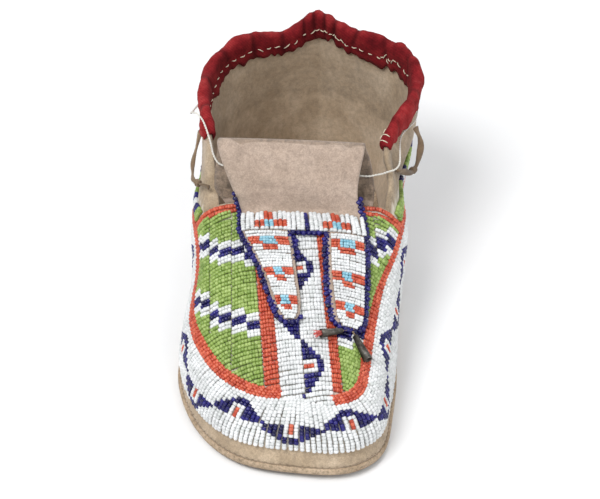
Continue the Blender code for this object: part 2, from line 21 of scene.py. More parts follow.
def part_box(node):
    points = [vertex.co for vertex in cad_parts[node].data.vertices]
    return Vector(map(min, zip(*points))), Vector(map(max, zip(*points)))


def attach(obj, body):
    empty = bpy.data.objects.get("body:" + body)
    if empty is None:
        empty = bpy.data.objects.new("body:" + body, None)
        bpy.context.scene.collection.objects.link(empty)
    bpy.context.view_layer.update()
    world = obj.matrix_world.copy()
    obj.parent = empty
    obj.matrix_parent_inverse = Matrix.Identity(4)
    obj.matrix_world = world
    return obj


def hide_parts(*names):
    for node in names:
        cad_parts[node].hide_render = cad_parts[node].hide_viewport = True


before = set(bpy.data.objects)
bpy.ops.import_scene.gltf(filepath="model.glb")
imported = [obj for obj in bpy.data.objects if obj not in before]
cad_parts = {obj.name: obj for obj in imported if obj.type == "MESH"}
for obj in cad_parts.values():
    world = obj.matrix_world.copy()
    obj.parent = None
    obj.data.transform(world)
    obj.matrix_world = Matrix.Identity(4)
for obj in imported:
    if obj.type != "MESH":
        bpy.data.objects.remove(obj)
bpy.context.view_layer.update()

MM = 0.001
SEED = 7
SIDES = ("lateral", "medial")
# Points closer than this many metres are one
TINY = 1e-7

# Sole
SOLE_THICKNESS = 4.0
SOLE_EDGE_ROUND = 0.9
TOE_SPRING = 3.0
TOE_SPRING_START = -88.0
TOE_SPRING_RUN = 40.0
ARCH_LIFT = 1.4
ARCH_CENTRE = 24.0
ARCH_HALF_LENGTH = 62.0

# Upper
HIDE = 1.8
FOOT_INSET = 3.0
FIT_GAP = 0.3
THROAT_Y = 8.0
COLLAR_FRONT_Y = 36.0
SPINE_FRONT = -82.0
SPINE_BACK = 80.0
SPINE_SOFTNESS = 30.0
SPINE_SPREAD = 8.0
VAMP_COLUMNS = 20
QUARTER_COLUMNS = 20
LAST_COLUMN = VAMP_COLUMNS + QUARTER_COLUMNS
# Height up the wall over which the toe's spring and the arch fade away
SPRING_FADE = 30.0
# Share of the vamp's columns over which the border changes towards the toe
TOE_REACH = 0.7
# Points of a rib up to its shoulder, and again from there over the vamp
RIB_POINTS = 81
# Steps of the wall's table to a column, and how many millimetres up it goes
FINE = 4
TALL = 125

# Beadwork: the bare margin over the sole, and the widths of its lanes
MARGIN = 5.0
MARGIN_AT_TOE = 8.0
LANE = 12.0
LANE_AT_TOE = 12.8
RED_LANE = 5.6
# A bead, how high its middle sits over the hide, and how much higher half way
# along its string
BEAD_LENGTH = 1.52
BEAD_WIDTH = 2.30
BEAD_SEAT = 0.65
LANE_ARCH = 0.55
# From one string of the border to the next, and from one row of the fields to
# the next at the throat and at the toe
STRING_PITCH = 2.44
ROW_PITCH_BACK = 2.25
ROW_PITCH_TOE = 2.6
# Strings from the middle of one stepped triangle to the next
HALF_PERIOD = 12
# Where the middle of a triangle lies on the border at the toe, and on the panel
MOTIF_START_X = 4.3
PANEL_MOTIF_Y = -91.7
PANEL_PITCH = 2.54

# Collar binding: its gap to the hide, its thickness, and how far down it
# reaches outside and inside
BINDING_GAP = 0.55
CLOTH = 1.1
BINDING_OUTER = 7.5
BINDING_INNER = 12.6

# Tongue: its thickness, and its gap to the throat's edge
TONGUE_HIDE = 1.5
SEAM_GAP = 0.85

# Ties and cones
THONG_DIAMETER = 2.0
STRING_DIAMETER = 1.2
STRING_HEIGHT = 73.0
CONE_MOUTH = 2.3
CONE_NECK = 1.3
TIN = 0.45
CONE_THONG = 1.0
# Half widths of the flat hide strips
THONG_WIDTH = {"lateral": 1.15, "medial": 1.75}
# Share of each thong at which its knot sits
KNOT_AT = {"lateral": 0.80, "medial": 0.45}
# Each cone's neck and mouth in plan: x and y of both
CONES = {
    "inner": (25.5, -69.6, 15.6, -74.4),
    "outer": (31.8, -70.4, 38.6, -81.6),
}

# One row for each section round the foot, from the back of the heel along the
# lateral side to the toe and back along the medial side: x, y, the shoulder's
# inset and height, and the wall's lean and its turn at the shoulder in degrees.
SECTIONS = {
    "heel back": (3.0, 126.0, 1.0, 94.5, 8.0, 84.0),
    "heel back lateral": (-14.0, 123.5, 0.5, 84.5, 7.0, 88.0),
    "heel lateral": (-28.5, 112.0, -4.5, 86.5, 10.0, 92.0),
    "ankle lateral back": (-37.0, 92.0, -12.5, 85.5, 15.0, 96.0),
    "ankle lateral": (-41.0, 66.0, -14.5, 84.0, 20.0, 94.0),
    "quarter front lateral": (-44.5, 36.0, -4.0, 79.0, 23.0, 74.0),
    "throat lateral": (-47.5, 8.0, 5.0, 58.0, 23.0, 22.0),
    "instep lateral": (-50.5, -20.0, 9.0, 47.5, 13.0, 32.0),
    "ball lateral": (-55.0, -50.0, 10.0, 38.0, 6.0, 36.0),
    "toe lateral": (-51.0, -76.0, 9.5, 32.5, 4.0, 38.0),
    "toe diagonal": (-38.0, -103.5, 9.0, 28.5, 2.0, 40.0),
    "toe front lateral": (-20.0, -120.5, 9.0, 26.5, 0.0, 40.0),
    "toe front": (8.0, -127.0, 9.0, 26.0, 0.0, 40.0),
    "toe front medial": (32.0, -125.2, 8.5, 26.5, 0.0, 40.0),
    "toe medial corner": (45.5, -113.0, 8.5, 28.0, 1.0, 40.0),
    "toe medial": (50.5, -88.0, 8.5, 31.5, 3.0, 38.0),
    "ball medial": (51.5, -58.0, 8.5, 37.0, 6.0, 36.0),
    "instep medial": (49.0, -22.0, 6.0, 47.5, 17.0, 32.0),
    "throat medial": (45.5, 8.0, 0.5, 58.0, 25.0, 26.0),
    "quarter front medial": (43.0, 36.0, -1.5, 79.0, 26.0, 72.0),
    "ankle medial": (40.5, 66.0, -17.5, 84.5, 22.0, 94.0),
    "ankle medial back": (37.5, 92.0, -17.0, 87.5, 16.0, 96.0),
    "heel medial": (28.5, 113.0, -5.5, 86.5, 10.0, 92.0),
    "heel back medial": (18.0, 122.5, -0.5, 87.5, 7.0, 88.0),
}

# Height of the vamp's ridge along the foot: y, z
RIDGE = {
    "toe": (-84.0, 41.0),
    "ball": (-55.0, 46.5),
    "waist": (-25.0, 52.5),
    "throat": (10.0, 60.0),
}

# The tongue from its seam at the throat, up, over the fold and down the vamp:
# y, z, and the x of its left edge, of both sides of its slit and of its right
# edge. A z of 0 means that the row lies on the beaded vamp.
TONGUE = {
    "seam": (10.2, 57.5, -36.0, -4.0, 12.0, 36.0),
    "back low": (12.0, 69.0, -41.5, -4.0, 12.0, 36.5),
    "back high": (16.5, 80.0, -41.0, -4.0, 12.0, 34.5),
    "fold back": (19.0, 87.0, -40.2, -4.0, 12.0, 32.0),
    "fold top": (17.4, 90.6, -39.5, -4.0, 12.0, 31.5),
    "fold front": (14.0, 89.4, -39.5, -4.0, 12.0, 31.5),
    "front high": (9.6, 81.5, -36.5, -4.0, 12.0, 29.8),
    "front low": (5.2, 72.0, -31.5, -4.0, 12.5, 28.8),
    "touch": (1.5, 0.0, -27.5, -3.8, 13.5, 30.6),
    "slit top": (-11.5, 0.0, -26.0, -3.0, 15.0, 33.0),
    "prong high": (-24.0, 0.0, -20.5, -0.5, 16.2, 34.0),
    "prong middle": (-40.0, 0.0, -13.5, 2.2, 17.4, 34.3),
    "prong low": (-54.0, 0.0, -8.8, 4.6, 19.2, 34.6),
    "prong end": (-62.5, 0.0, -5.4, 4.8, 21.0, 34.0),
    "prong tip": (-67.5, 0.0, -2.4, 3.2, 24.5, 31.0),
}


# ---------------------------------------------------------------- the last


def closed_spline(rows):
    """A smooth closed curve through the rows, as (parameters, sampler)."""
    count = len(rows)
    step = np.linalg.norm((np.roll(rows, -1, 0) - rows)[:, :2], axis=1)
    before = np.roll(step, 1)
    matrix = np.zeros((count, count))
    slopes = (np.roll(rows, -1, 0) - rows) / step[:, None]
    for i in range(count):
        matrix[i, i] = 2 * (before[i] + step[i])
        matrix[i, (i + 1) % count] += step[i]
        matrix[i, i - 1] += before[i]
    bend = np.linalg.solve(matrix, 6 * (slopes - np.roll(slopes, 1, 0)))
    knots = np.concatenate([[0], np.cumsum(step)])

    def sample(at):
        at = np.mod(at, knots[-1])
        i = np.clip(np.searchsorted(knots, at, "right") - 1, 0, count - 1)
        j = (i + 1) % count
        h = step[i][:, None]
        a = (knots[i + 1] - at)[:, None]
        b = (at - knots[i])[:, None]
        return (
            (bend[i] * a**3 + bend[j] * b**3) / (6 * h)
            + (rows[i] / h - bend[i] * h / 6) * a
            + (rows[j] / h - bend[j] * h / 6) * b
        )

    return knots, sample


def smooth_max(value, floor, softness):
    """The greater of the two, rounded where they meet."""
    return floor + 0.5 * (value - floor + np.hypot(value - floor, softness))


def hermite(start, end, leave, arrive):
    """A cubic from start to end, with its directions at the two ends."""
    t = np.linspace(0, 1, RIB_POINTS)[:, None]
    chord = np.hypot(*(end - start))
    return (
        (2 * t**3 - 3 * t**2 + 1) * start
        + (t**3 - 2 * t**2 + t) * chord * leave
        + (-2 * t**3 + 3 * t**2) * end
        + (t**3 - t**2) * chord * arrive
    )


def sole_underside(x, y):
    """Height of the sole's underside: the toe spring and the shallow arch."""
    toe = np.clip((TOE_SPRING_START - y) / TOE_SPRING_RUN, 0, None)
    arch = np.clip(1 - ((y - ARCH_CENTRE) / ARCH_HALF_LENGTH) ** 2, 0, None)
    side = 0.6 + 0.4 * np.clip(x / 40.0, -1, 1)
    return TOE_SPRING * toe**2 + ARCH_LIFT * arch**2 * side


def along(points):
    """Distance along a line of points, from its start."""
    steps = np.linalg.norm(np.diff(points, axis=0), axis=1)
    return np.concatenate([[0], np.cumsum(steps)])


def read_table(at, knots, table):
    """Each column of the table, read at places between its knots."""
    return np.column_stack([np.interp(at, knots, column) for column in np.transpose(table)])


def at_distances(points, distances):
    """Points of a line at the distances along it."""
    return read_table(distances, along(points), points)


def unit(vectors):
    """The vectors at length one."""
    return vectors / np.maximum(np.linalg.norm(vectors, axis=-1, keepdims=True), 1e-12)


def grid_normals(grid):
    """Normals of a grid of points, its rows crossed with its columns."""
    return unit(np.cross(np.gradient(grid, axis=0), np.gradient(grid, axis=1)))


def near_segment(a, b, run_a, run_b):
    """Share along a segment from (0, 0) to the run, and distance from it, of (a, b)."""
    length = math.hypot(run_a, run_b)
    run_a, run_b = run_a / length, run_b / length
    t = np.clip(a * run_a + b * run_b, 0, length)
    return t / length, np.hypot(a - t * run_a, b - t * run_b)


class Last:
    """The shape of the foot: its outline, its spine and the ribs of its wall."""

    def __init__(self):
        knots, self.sample = closed_spline(np.array(list(SECTIONS.values())))
        names = list(SECTIONS)
        toe = knots[names.index("toe front")]
        heel = knots[names.index("heel back")]
        front = np.linspace(0, 1, VAMP_COLUMNS + 1)
        back = np.linspace(0, 1, QUARTER_COLUMNS + 1)[1:]
        self.edge = {}
        for side, end in (("lateral", heel), ("medial", heel + knots[-1])):
            throat = self.crossing(knots[names.index(f"throat {side}")], THROAT_Y)
            self.edge[side] = np.concatenate(
                [toe + (throat - toe) * front, throat + (end - throat) * back]
            )
        a, b = (self.sample(self.edge[side])[:, :2] for side in SIDES)
        self.spine = 0.5 * (a + b)
        y = smooth_max(self.spine[:, 1], SPINE_FRONT, SPINE_SOFTNESS)
        y = -smooth_max(-y, -SPINE_BACK, SPINE_SOFTNESS)
        share = np.arange(len(y)) / VAMP_COLUMNS - 1
        self.spine[:, 1] = y + SPINE_SPREAD * share * np.abs(share)
        ridge = np.array(list(RIDGE.values()))
        self.ridge = np.polyfit(ridge[:, 0], ridge[:, 1], 3)

    def crossing(self, near, y):
        """The parameter close to a section where the outline crosses y."""
        around = near + np.linspace(-30, 30, 1201)
        return around[np.argmin(np.abs(self.sample(around)[:, 1] - y))]

    def parameter(self, side, column):
        """The outline's parameter at any column."""
        return np.interp(column, np.arange(LAST_COLUMN + 1), self.edge[side])

    def centre(self, column):
        """The spine's points at columns."""
        return read_table(column, np.arange(LAST_COLUMN + 1), self.spine)

    def rib(self, side, column, over):
        """One rib of the wall as dense points: up the side, and over if asked."""
        centre = self.centre(column)[0]
        parameter = self.parameter(side, np.array([column]))
        x, y, inset, top, lean, turn = self.sample(parameter)[0]
        inward = centre - np.array([x, y])
        reach = np.hypot(*inward)
        inward = inward / reach
        lean, turn = math.radians(lean), math.radians(turn)
        foot = np.array([0, SOLE_THICKNESS + FIT_GAP])
        shoulder = np.array([inset, top])
        up = np.array([-math.sin(lean), math.cos(lean)])
        turned = np.array([math.cos(turn), math.sin(turn)])
        rib = hermite(foot, shoulder, up, turned)
        if over:
            end = np.array([reach - FOOT_INSET, np.polyval(self.ridge, centre[1])])
            slope = np.polyval(np.polyder(self.ridge), centre[1]) * inward[1]
            rib = np.vstack([rib, hermite(shoulder, end, turned, np.array([1.0, slope]))[1:]])
        plan = np.array([x, y]) + np.outer(rib[:, 0] + FOOT_INSET, inward)
        fade = np.clip(1 - (rib[:, 1] - rib[0, 1]) / SPRING_FADE, 0, 1)
        return np.column_stack([plan, rib[:, 1] + sole_underside(*plan[0]) * fade])


# Soft folds of the bare hide: side, then column and height of both ends of the
# fold's line, its half width and its depth, minus for a trough.
FOLDS = {
    "heel seam": ("both", 40.0, 4.0, 40.0, 98.0, 2.2, 0.9),
    "lateral quarter roll": ("lateral", 21.5, 62.0, 25.5, 79.0, 4.0, 1.2),
    "lateral quarter trough": ("lateral", 22.8, 60.0, 27.0, 72.0, 3.0, -1.3),
    "lateral ankle trough": ("lateral", 28.0, 78.0, 31.5, 62.0, 4.0, -1.1),
    "lateral ankle ridge": ("lateral", 30.0, 84.0, 33.5, 66.0, 4.5, 1.0),
    "lateral heel trough": ("lateral", 35.0, 84.0, 36.0, 62.0, 4.0, -0.9),
    "medial quarter roll": ("medial", 21.6, 61.0, 25.0, 78.0, 4.0, 1.1),
    "medial quarter trough": ("medial", 23.2, 60.0, 27.5, 74.0, 3.2, -1.2),
    "medial ankle trough": ("medial", 29.0, 84.0, 31.0, 62.0, 4.2, -1.1),
    "medial ankle ridge": ("medial", 31.5, 82.0, 34.5, 64.0, 4.5, 0.9),
    "medial heel trough": ("medial", 36.0, 86.0, 36.5, 62.0, 4.0, -0.9),
    "lateral front flare": ("lateral", 22.3, 60.0, 27.5, 68.0, 7.0, 1.7),
    "medial front flare": ("medial", 23.6, 56.5, 29.0, 61.0, 7.5, 2.5),
    "medial throat lean": ("medial", 20.2, 60.0, 22.2, 67.5, 5.5, 6.0),
    "toe sole puckers": ("both", 0.0, 3.0, 7.0, 3.0, 2.0, 0.5),
}
# Distance along the wall from one column to the next, about
COLUMN_SIZE = 7.6
# The upper's turned seam allowance spreads towards the sole's edge
FOOT_FLARE = 1.7
FLARE_HEIGHT = 3.2

# Height up the wall of the border's upper edge, at columns of the wall
BORDER_TOP = {
    "lateral": {
        0: 33.2, 2.5: 31.8, 5: 30.4, 8: 28.2, 10: 27.4, 11: 27.0, 12: 26.7, 13: 27.0,
        14: 27.6, 15: 28.8, 16: 30.5, 17: 32.5, 18: 34.5, 19: 36.6, 20: 38.5, 22: 38.0,
        25: 34.0, 29: 30.5, 40: 29.0,
    },
    "medial": {
        0: 33.2, 2: 31.6, 4.75: 29.4, 6.5: 29.0, 9.25: 31.2, 11: 33.6, 12.25: 35.2,
        14: 37.8, 15: 38.7, 16: 39.3, 17: 39.4, 18: 40.0, 19: 42.1, 20: 44.3, 21: 44.0,
        22: 42.4, 25: 36.5, 29: 31.5, 40: 29.0,
    },
}
# Width of the red lane above it, narrower along the instep
RED_WIDTH = {
    "lateral": {0: 5.6, 11: 5.6, 14: 4.4, 20: 4.2, 22: 5.6, 40: 5.6},
    "medial": {
        0: 5.6, 10: 5.6, 12.25: 4.8, 14: 4.2, 16: 3.4, 18: 3.2, 20: 3.2, 22: 5.0,
        24: 5.6, 40: 5.6,
    },
}


def read_at(table, columns):
    """A table of values by column, read at any columns."""
    return np.interp(columns, list(table), list(table.values()))


class Wall:
    """The upper's outer face, read at any column and height up the wall."""

    def __init__(self, last):
        self.grid, self.normal, self.top, self.whole = {}, {}, {}, {}
        heights = np.arange(TALL, dtype=float)
        for side in SIDES:
            ribs, tops, wholes = [], [], []
            for i in range(LAST_COLUMN * FINE + 1):
                rib = last.rib(side, i / FINE, i <= VAMP_COLUMNS * FINE)
                run = along(rib)
                tops.append(run[RIB_POINTS - 1])
                wholes.append(run[-1])
                beyond = np.clip(heights - run[-1], 0, None)[:, None]
                ribs.append(at_distances(rib, heights) + beyond * unit(rib[-1] - rib[-4]))
            self.grid[side] = np.array(ribs)
            self.top[side] = np.array(tops)
            self.whole[side] = np.array(wholes)
            facing = -1 if side == "lateral" else 1
            self.normal[side] = facing * grid_normals(self.grid[side])
        for end in (0, -1):
            seam = unit(self.normal["lateral"][end] + self.normal["medial"][end])
            self.normal["lateral"][end] = self.normal["medial"][end] = seam
        for side in SIDES:
            self.grid[side] += self.relief(side)[:, :, None] * self.normal[side]

    @staticmethod
    def relief(side):
        """The hide's folds as heights over the smooth wall."""
        columns = np.arange(LAST_COLUMN * FINE + 1)[:, None] / FINE
        heights = np.arange(TALL)[None, :]
        relief = FOOT_FLARE * np.exp(-((heights / FLARE_HEIGHT) ** 2))
        for owner, k0, h0, k1, h1, width, depth in FOLDS.values():
            if owner in (side, "both"):
                a, b = (columns - k0) * COLUMN_SIZE, heights - h0
                share, gap = near_segment(a, b, (k1 - k0) * COLUMN_SIZE, h1 - h0)
                taper = np.sin(math.pi * np.clip(share, 0.12, 0.88)) ** 0.5
                relief = relief + depth * taper * np.exp(-((gap / width) ** 2))
        return relief

    @staticmethod
    def read(table, column, height):
        """The table's value between its columns and heights."""
        i = np.clip(np.asarray(column, float) * FINE, 0, len(table) - 1.001)
        j = np.clip(np.asarray(height, float), 0, TALL - 1.001)
        i, j = np.broadcast_arrays(i, j)
        a, b = i.astype(int), j.astype(int)
        u, v = (i - a)[..., None], (j - b)[..., None]
        low = (1 - u) * table[a, b] + u * table[a + 1, b]
        high = (1 - u) * table[a, b + 1] + u * table[a + 1, b + 1]
        return (1 - v) * low + v * high

    def point(self, side, column, height):
        """A point of the outer face, folds and all."""
        return self.read(self.grid[side], column, height)

    def off(self, side, column, height):
        """The way straight off the wall."""
        return unit(self.read(self.normal[side], column, height))

    def top_at(self, side, column):
        """Height up the wall of its shoulder, or of the collar's edge."""
        return np.interp(column, np.arange(len(self.top[side])) / FINE, self.top[side])

    def lanes(self, side, column):
        """Heights of the border's lower edge, of its lanes' line and of its top."""
        column = np.asarray(column)
        share = np.minimum(1.0, column / (TOE_REACH * VAMP_COLUMNS))
        toe = 0.5 + 0.5 * np.cos(math.pi * share)
        margin = MARGIN + (MARGIN_AT_TOE - MARGIN) * toe
        lane = LANE + (LANE_AT_TOE - LANE) * toe
        around = column[..., None] + np.linspace(-0.9, 0.9, 9)
        top = read_at(BORDER_TOP[side], np.abs(around)).mean(axis=-1)
        return margin, top - lane, top

    def red_top(self, side, column):
        """Height of the red lane's upper edge."""
        return self.lanes(side, column)[2] + read_at(RED_WIDTH[side], column)


# ------------------------------------------------------------ making objects


def outline_centre(last):
    """Middle of the sole's outline in the tables' frame."""
    ring = last.sample(np.linspace(0, last.edge["medial"][-1], 2000))[:, :2]
    return 0.5 * (ring.min(axis=0) + ring.max(axis=0))


LAST = Last()
LOW, HIGH = (np.array(corner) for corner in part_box("sole"))
PLACE = np.append(outline_centre(LAST) - 0.5 * (LOW + HIGH)[:2] / MM, 0.0)
WALL = Wall(LAST)


def place(points):
    """Points of the tables' frame, in millimetres, as metres in the frame."""
    return (np.asarray(points, float) - PLACE) * MM


def mesh_object(name, points, faces, surfaces, indices=None):
    """A smooth mesh that rides the shoe, with a surface's number for each face."""
    mesh = bpy.data.meshes.new(name)
    mesh.from_pydata(place(points).tolist(), [], [list(map(int, f)) for f in faces])
    for surface in surfaces:
        mesh.materials.append(surface)
    if indices is not None:
        mesh.polygons.foreach_set("material_index", np.asarray(indices, np.int32))
    mesh.shade_smooth()
    made = bpy.data.objects.new(name, mesh)
    bpy.context.scene.collection.objects.link(made)
    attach(made, "root")
    return made


def weld(made, distance=TINY):
    """Joins points closer than a distance in metres, and turns the faces outwards."""
    work = bmesh.new()
    work.from_mesh(made.data)
    bmesh.ops.remove_doubles(work, verts=work.verts[:], dist=distance)
    bmesh.ops.dissolve_degenerate(work, edges=work.edges[:], dist=1e-6)
    bmesh.ops.recalc_face_normals(work, faces=work.faces[:])
    work.to_mesh(made.data)
    work.free()


def add_values(made, name, values):
    """Stores a number at each point of a mesh, for its material."""
    layer = made.data.attributes.new(name, "FLOAT", "POINT")
    layer.data.foreach_set("value", np.array(values, np.float32))


def grid_faces(rows, columns, closed=False):
    """Faces between rows of points, each row a closed ring if asked."""
    faces = []
    for i in range(rows - 1):
        for j in range(columns if closed else columns - 1):
            k = (j + 1) % columns
            a, b = i * columns, (i + 1) * columns
            faces.append((a + j, a + k, b + k, b + j))
    return faces


def ellipse(centre, u, v, count, first=0.0):
    """Points round a centre at even turns, its half axes u and v."""
    turns = first + 2 * math.pi * np.arange(count)[:, None] / count
    return centre + np.cos(turns) * u + np.sin(turns) * v


def tube_mesh(name, tubes, sides, surface):
    """Closed tubes as one mesh: each its centres and their two half axes."""
    points, faces = [], []
    for tube in tubes:
        start = len(points)
        for centre, u, v in zip(*tube, strict=True):
            points.extend(ellipse(centre, u, v, sides))
        rings = grid_faces(len(tube[0]), sides, closed=True)
        faces += [tuple(start + i for i in face) for face in rings]
        faces.append(tuple(range(start, start + sides)))
        faces.append(tuple(len(points) - 1 - i for i in range(sides)))
    made = mesh_object(name, points, faces, [surface])
    weld(made)
    return made


def through(p, q, r, s, t):
    """The smooth curve from q to r at share t, with p before them and s after."""
    bend = (2 * p - 5 * q + 4 * r - s) * t**2 + (3 * q - p - 3 * r + s) * t**3
    return 0.5 * (2 * q + (r - p) * t + bend)


def smooth_route(route, count):
    """Evenly spaced points on a smooth curve through the route."""
    route = np.asarray(route, float)
    ends = np.vstack([2 * route[0] - route[1], route, 2 * route[-1] - route[-2]])
    t = np.linspace(0, 1, 25)[:-1, None]
    fine = [through(*ends[i : i + 4], t) for i in range(len(route) - 1)]
    fine = np.vstack([*fine, route[-1:]])
    return at_distances(fine, np.linspace(0, along(fine)[-1], count))


def frames_along(path):
    """Side and up at each point, carried along without twist."""
    tangent = unit(np.gradient(path, axis=0))
    seed = (1.0, 0.0, 0.0) if abs(tangent[0, 2]) > 0.9 else (0.0, 0.0, 1.0)
    current = np.cross(tangent[0], seed)
    side = []
    for t in tangent:
        current = unit(current - (current @ t) * t)
        side.append(current)
    return np.array(side), np.cross(side, tangent)


# -------------------------------------------------------------------- camera


def add_camera():
    """Long lens from above the toe, turned a little to the medial side."""
    azimuth, elevation = math.radians(3.6), math.radians(38.0)
    target, distance = Vector((0.0, -0.003, 0.041)), 2.0
    flat = math.cos(elevation)
    back = Vector((math.sin(azimuth) * flat, -math.cos(azimuth) * flat, math.sin(elevation)))
    lens = bpy.data.cameras.new("camera")
    lens.lens = 245.0
    lens.sensor_width = 36.0
    lens.clip_end = 20.0
    made = bpy.data.objects.new("camera", lens)
    made.location = target + distance * back
    made.rotation_euler = (-back).to_track_quat("-Z", "Y").to_euler()
    bpy.context.scene.collection.objects.link(made)
    bpy.context.scene.camera = made


# ----------------------------------------------------------------- materials


class Surface:
    """A node material, built from the shader back."""

    def __init__(self, name):
        self.material = bpy.data.materials.new(name)
        self.material.use_nodes = True
        self.tree = self.material.node_tree
        self.shader = self.tree.nodes["Principled BSDF"]
        self.coordinates = self.node("TexCoord", {}).outputs["Object"]

    def set(self, socket, value):
        """Sets the shader's own socket to a constant."""
        self.shader.inputs[socket].default_value = value

    def feed(self, socket, value):
        """Sets a socket to a number, a vector or a colour, or links an output to it."""
        if isinstance(value, bpy.types.NodeSocket):
            self.tree.links.new(value, socket)
        elif isinstance(value, tuple) and socket.type != "VECTOR":
            socket.default_value = (*value, 1.0)
        else:
            socket.default_value = value

    def node(self, kind, inputs, **values):
        """A node with its inputs fed and its values set."""
        made = self.tree.nodes.new("ShaderNode" + kind)
        for key, value in values.items():
            setattr(made, key, value)
        for key, value in inputs.items():
            self.feed(made.inputs[key], value)
        return made

    def stretched(self, scale):
        """The object's coordinates, stretched along its axes."""
        inputs = {"Vector": self.coordinates, "Scale": scale}
        return self.node("Mapping", inputs).outputs["Vector"]

    def noise(self, size, detail=3.0, rough=0.55, warp=0.0, where=None):
        """Noise whose features are about size millimetres."""
        inputs = {"Vector": where or self.coordinates, "Scale": 1.0 / (size * MM)}
        inputs |= {"Detail": detail, "Roughness": rough, "Distortion": warp}
        return self.node("TexNoise", inputs).outputs["Fac"]

    def attribute(self, name):
        """A number that the mesh holds at its points."""
        return self.node("Attribute", {}, attribute_name=name).outputs["Fac"]

    def ramp(self, value, stops):
        """A colour or grey for each of the stops (position, colour)."""
        made = self.node("ValToRGB", {"Fac": value})
        elements = made.color_ramp.elements
        while len(elements) < len(stops):
            elements.new(0.5)
        for element, (position, colour) in zip(elements, stops, strict=True):
            shades = (colour, colour, colour) if isinstance(colour, float) else colour
            element.position = position
            element.color = (*shades, 1.0)
        return made.outputs["Color"]

    def mix(self, share, a, b, blend="MIX"):
        """The colour a turned into b, or blended with it, as far as the share."""
        inputs = {0: share, 6: a, 7: b}
        return self.node("Mix", inputs, data_type="RGBA", blend_type=blend).outputs[2]

    def dapple(self, share, colour, value, stops):
        """The colour times a ramp of the value, as far as the share."""
        return self.mix(share, colour, self.ramp(value, stops), "MULTIPLY")

    def product(self, a, b):
        """One number times another."""
        return self.node("Math", {0: a, 1: b}, operation="MULTIPLY").outputs[0]

    def bump(self, heights):
        """Bumps of (height, strength, distance in millimetres), one on another."""
        below = {}
        for height, strength, distance in heights:
            inputs = {"Strength": strength, "Distance": distance * MM, "Height": height}
            below = {"Normal": self.node("Bump", inputs | below).outputs["Normal"]}
        self.feed(self.shader.inputs["Normal"], below["Normal"])

    def finish(self, colour, roughness):
        """Gives the shader its colour and roughness, and returns the material."""
        self.feed(self.shader.inputs["Base Color"], colour)
        self.feed(self.shader.inputs["Roughness"], roughness)
        return self.material


def bead_surface(name, colour, deep, pale, coat=0.06):
    """Opaque glass: each bead a little deeper or paler than the next."""
    s = Surface(name)
    tint = s.attribute("tint")
    body = s.ramp(tint, [(0.0, deep), (0.45, colour), (1.0, pale)])
    body = s.dapple(1.0, body, s.noise(14.0, 4.0), [(0.35, 0.86), (0.65, 1.0)])
    s.bump([(s.noise(0.6, 2.0), 0.10, 0.1)])
    s.set("Specular IOR Level", 0.4)
    s.set("Coat Weight", coat)
    s.set("Coat Roughness", 0.12)
    return s.finish(body, s.ramp(tint, [(0.0, 0.28), (1.0, 0.40)]))


def hide_surface(name, shades, nap=1.0, pebble=0.0, beaded=False):
    """Smoked brain-tanned hide: cloudy, napped, with dirt and painted shade.

    Its mesh may say where it is darkened, by dirt and by painted shade, and where beads cover it and it
    is turned pale, partly as painted light.
    """
    s = Surface(name)
    cloud = s.noise(26.0, 4.0, 0.6, 0.4)
    body = s.ramp(cloud, list(zip((0.30, 0.52, 0.74), shades, strict=True)))
    body = s.dapple(0.75, body, s.noise(2.2, 4.0, 0.65), [(0.36, 0.80), (0.60, 1.06)])
    grain = s.noise(0.55, 3.0, 0.7)
    body = s.dapple(0.5, body, grain, [(0.3, 0.78), (0.7, 1.1)])
    pebbles = s.noise(0.8, 2.0, 0.6)
    body = s.dapple(pebble, body, pebbles, [(0.34, 0.62), (0.64, 1.16)])
    body = s.dapple(0.55, body, s.noise(11.0, 5.0, 0.7, 0.8), [(0.52, 1.0), (0.70, 0.72)])
    # A darker mottle, used for dirt on the margin and the tongue, and for painted shade on the quarters
    # and the tongue's rear layer
    rubbed = s.ramp(s.noise(3.4, 5.0, 0.75, 0.5), [(0.36, 0.22), (0.62, 0.70)])
    rubbed = s.mix(1.0, rubbed, (0.97, 0.92, 0.82), "MULTIPLY")
    grimy_and_shaded = s.mix(1.0, body, rubbed, "MULTIPLY")
    body = s.mix(s.attribute("grime"), body, grimy_and_shaded)
    if beaded:
        # Pale under the beads: partly unfaded hide, partly painted light in the gaps between the beads
        body = s.mix(s.attribute("covered"), body, (0.74, 0.69, 0.60))
    s.bump(
        [
            (s.noise(9.0, 3.0), 0.35 * nap, 1.1),
            (s.noise(1.5, 4.0, 0.6), 0.35 * nap, 0.35),
            (grain, 0.5 * nap, 0.16),
            (pebbles, 0.6 * pebble, 0.35),
        ]
    )
    s.set("Sheen Weight", 0.18)
    s.set("Sheen Roughness", 0.6)
    s.set("Specular IOR Level", 0.25)
    return s.finish(body, s.ramp(cloud, [(0.3, 0.96), (0.7, 0.84)]))


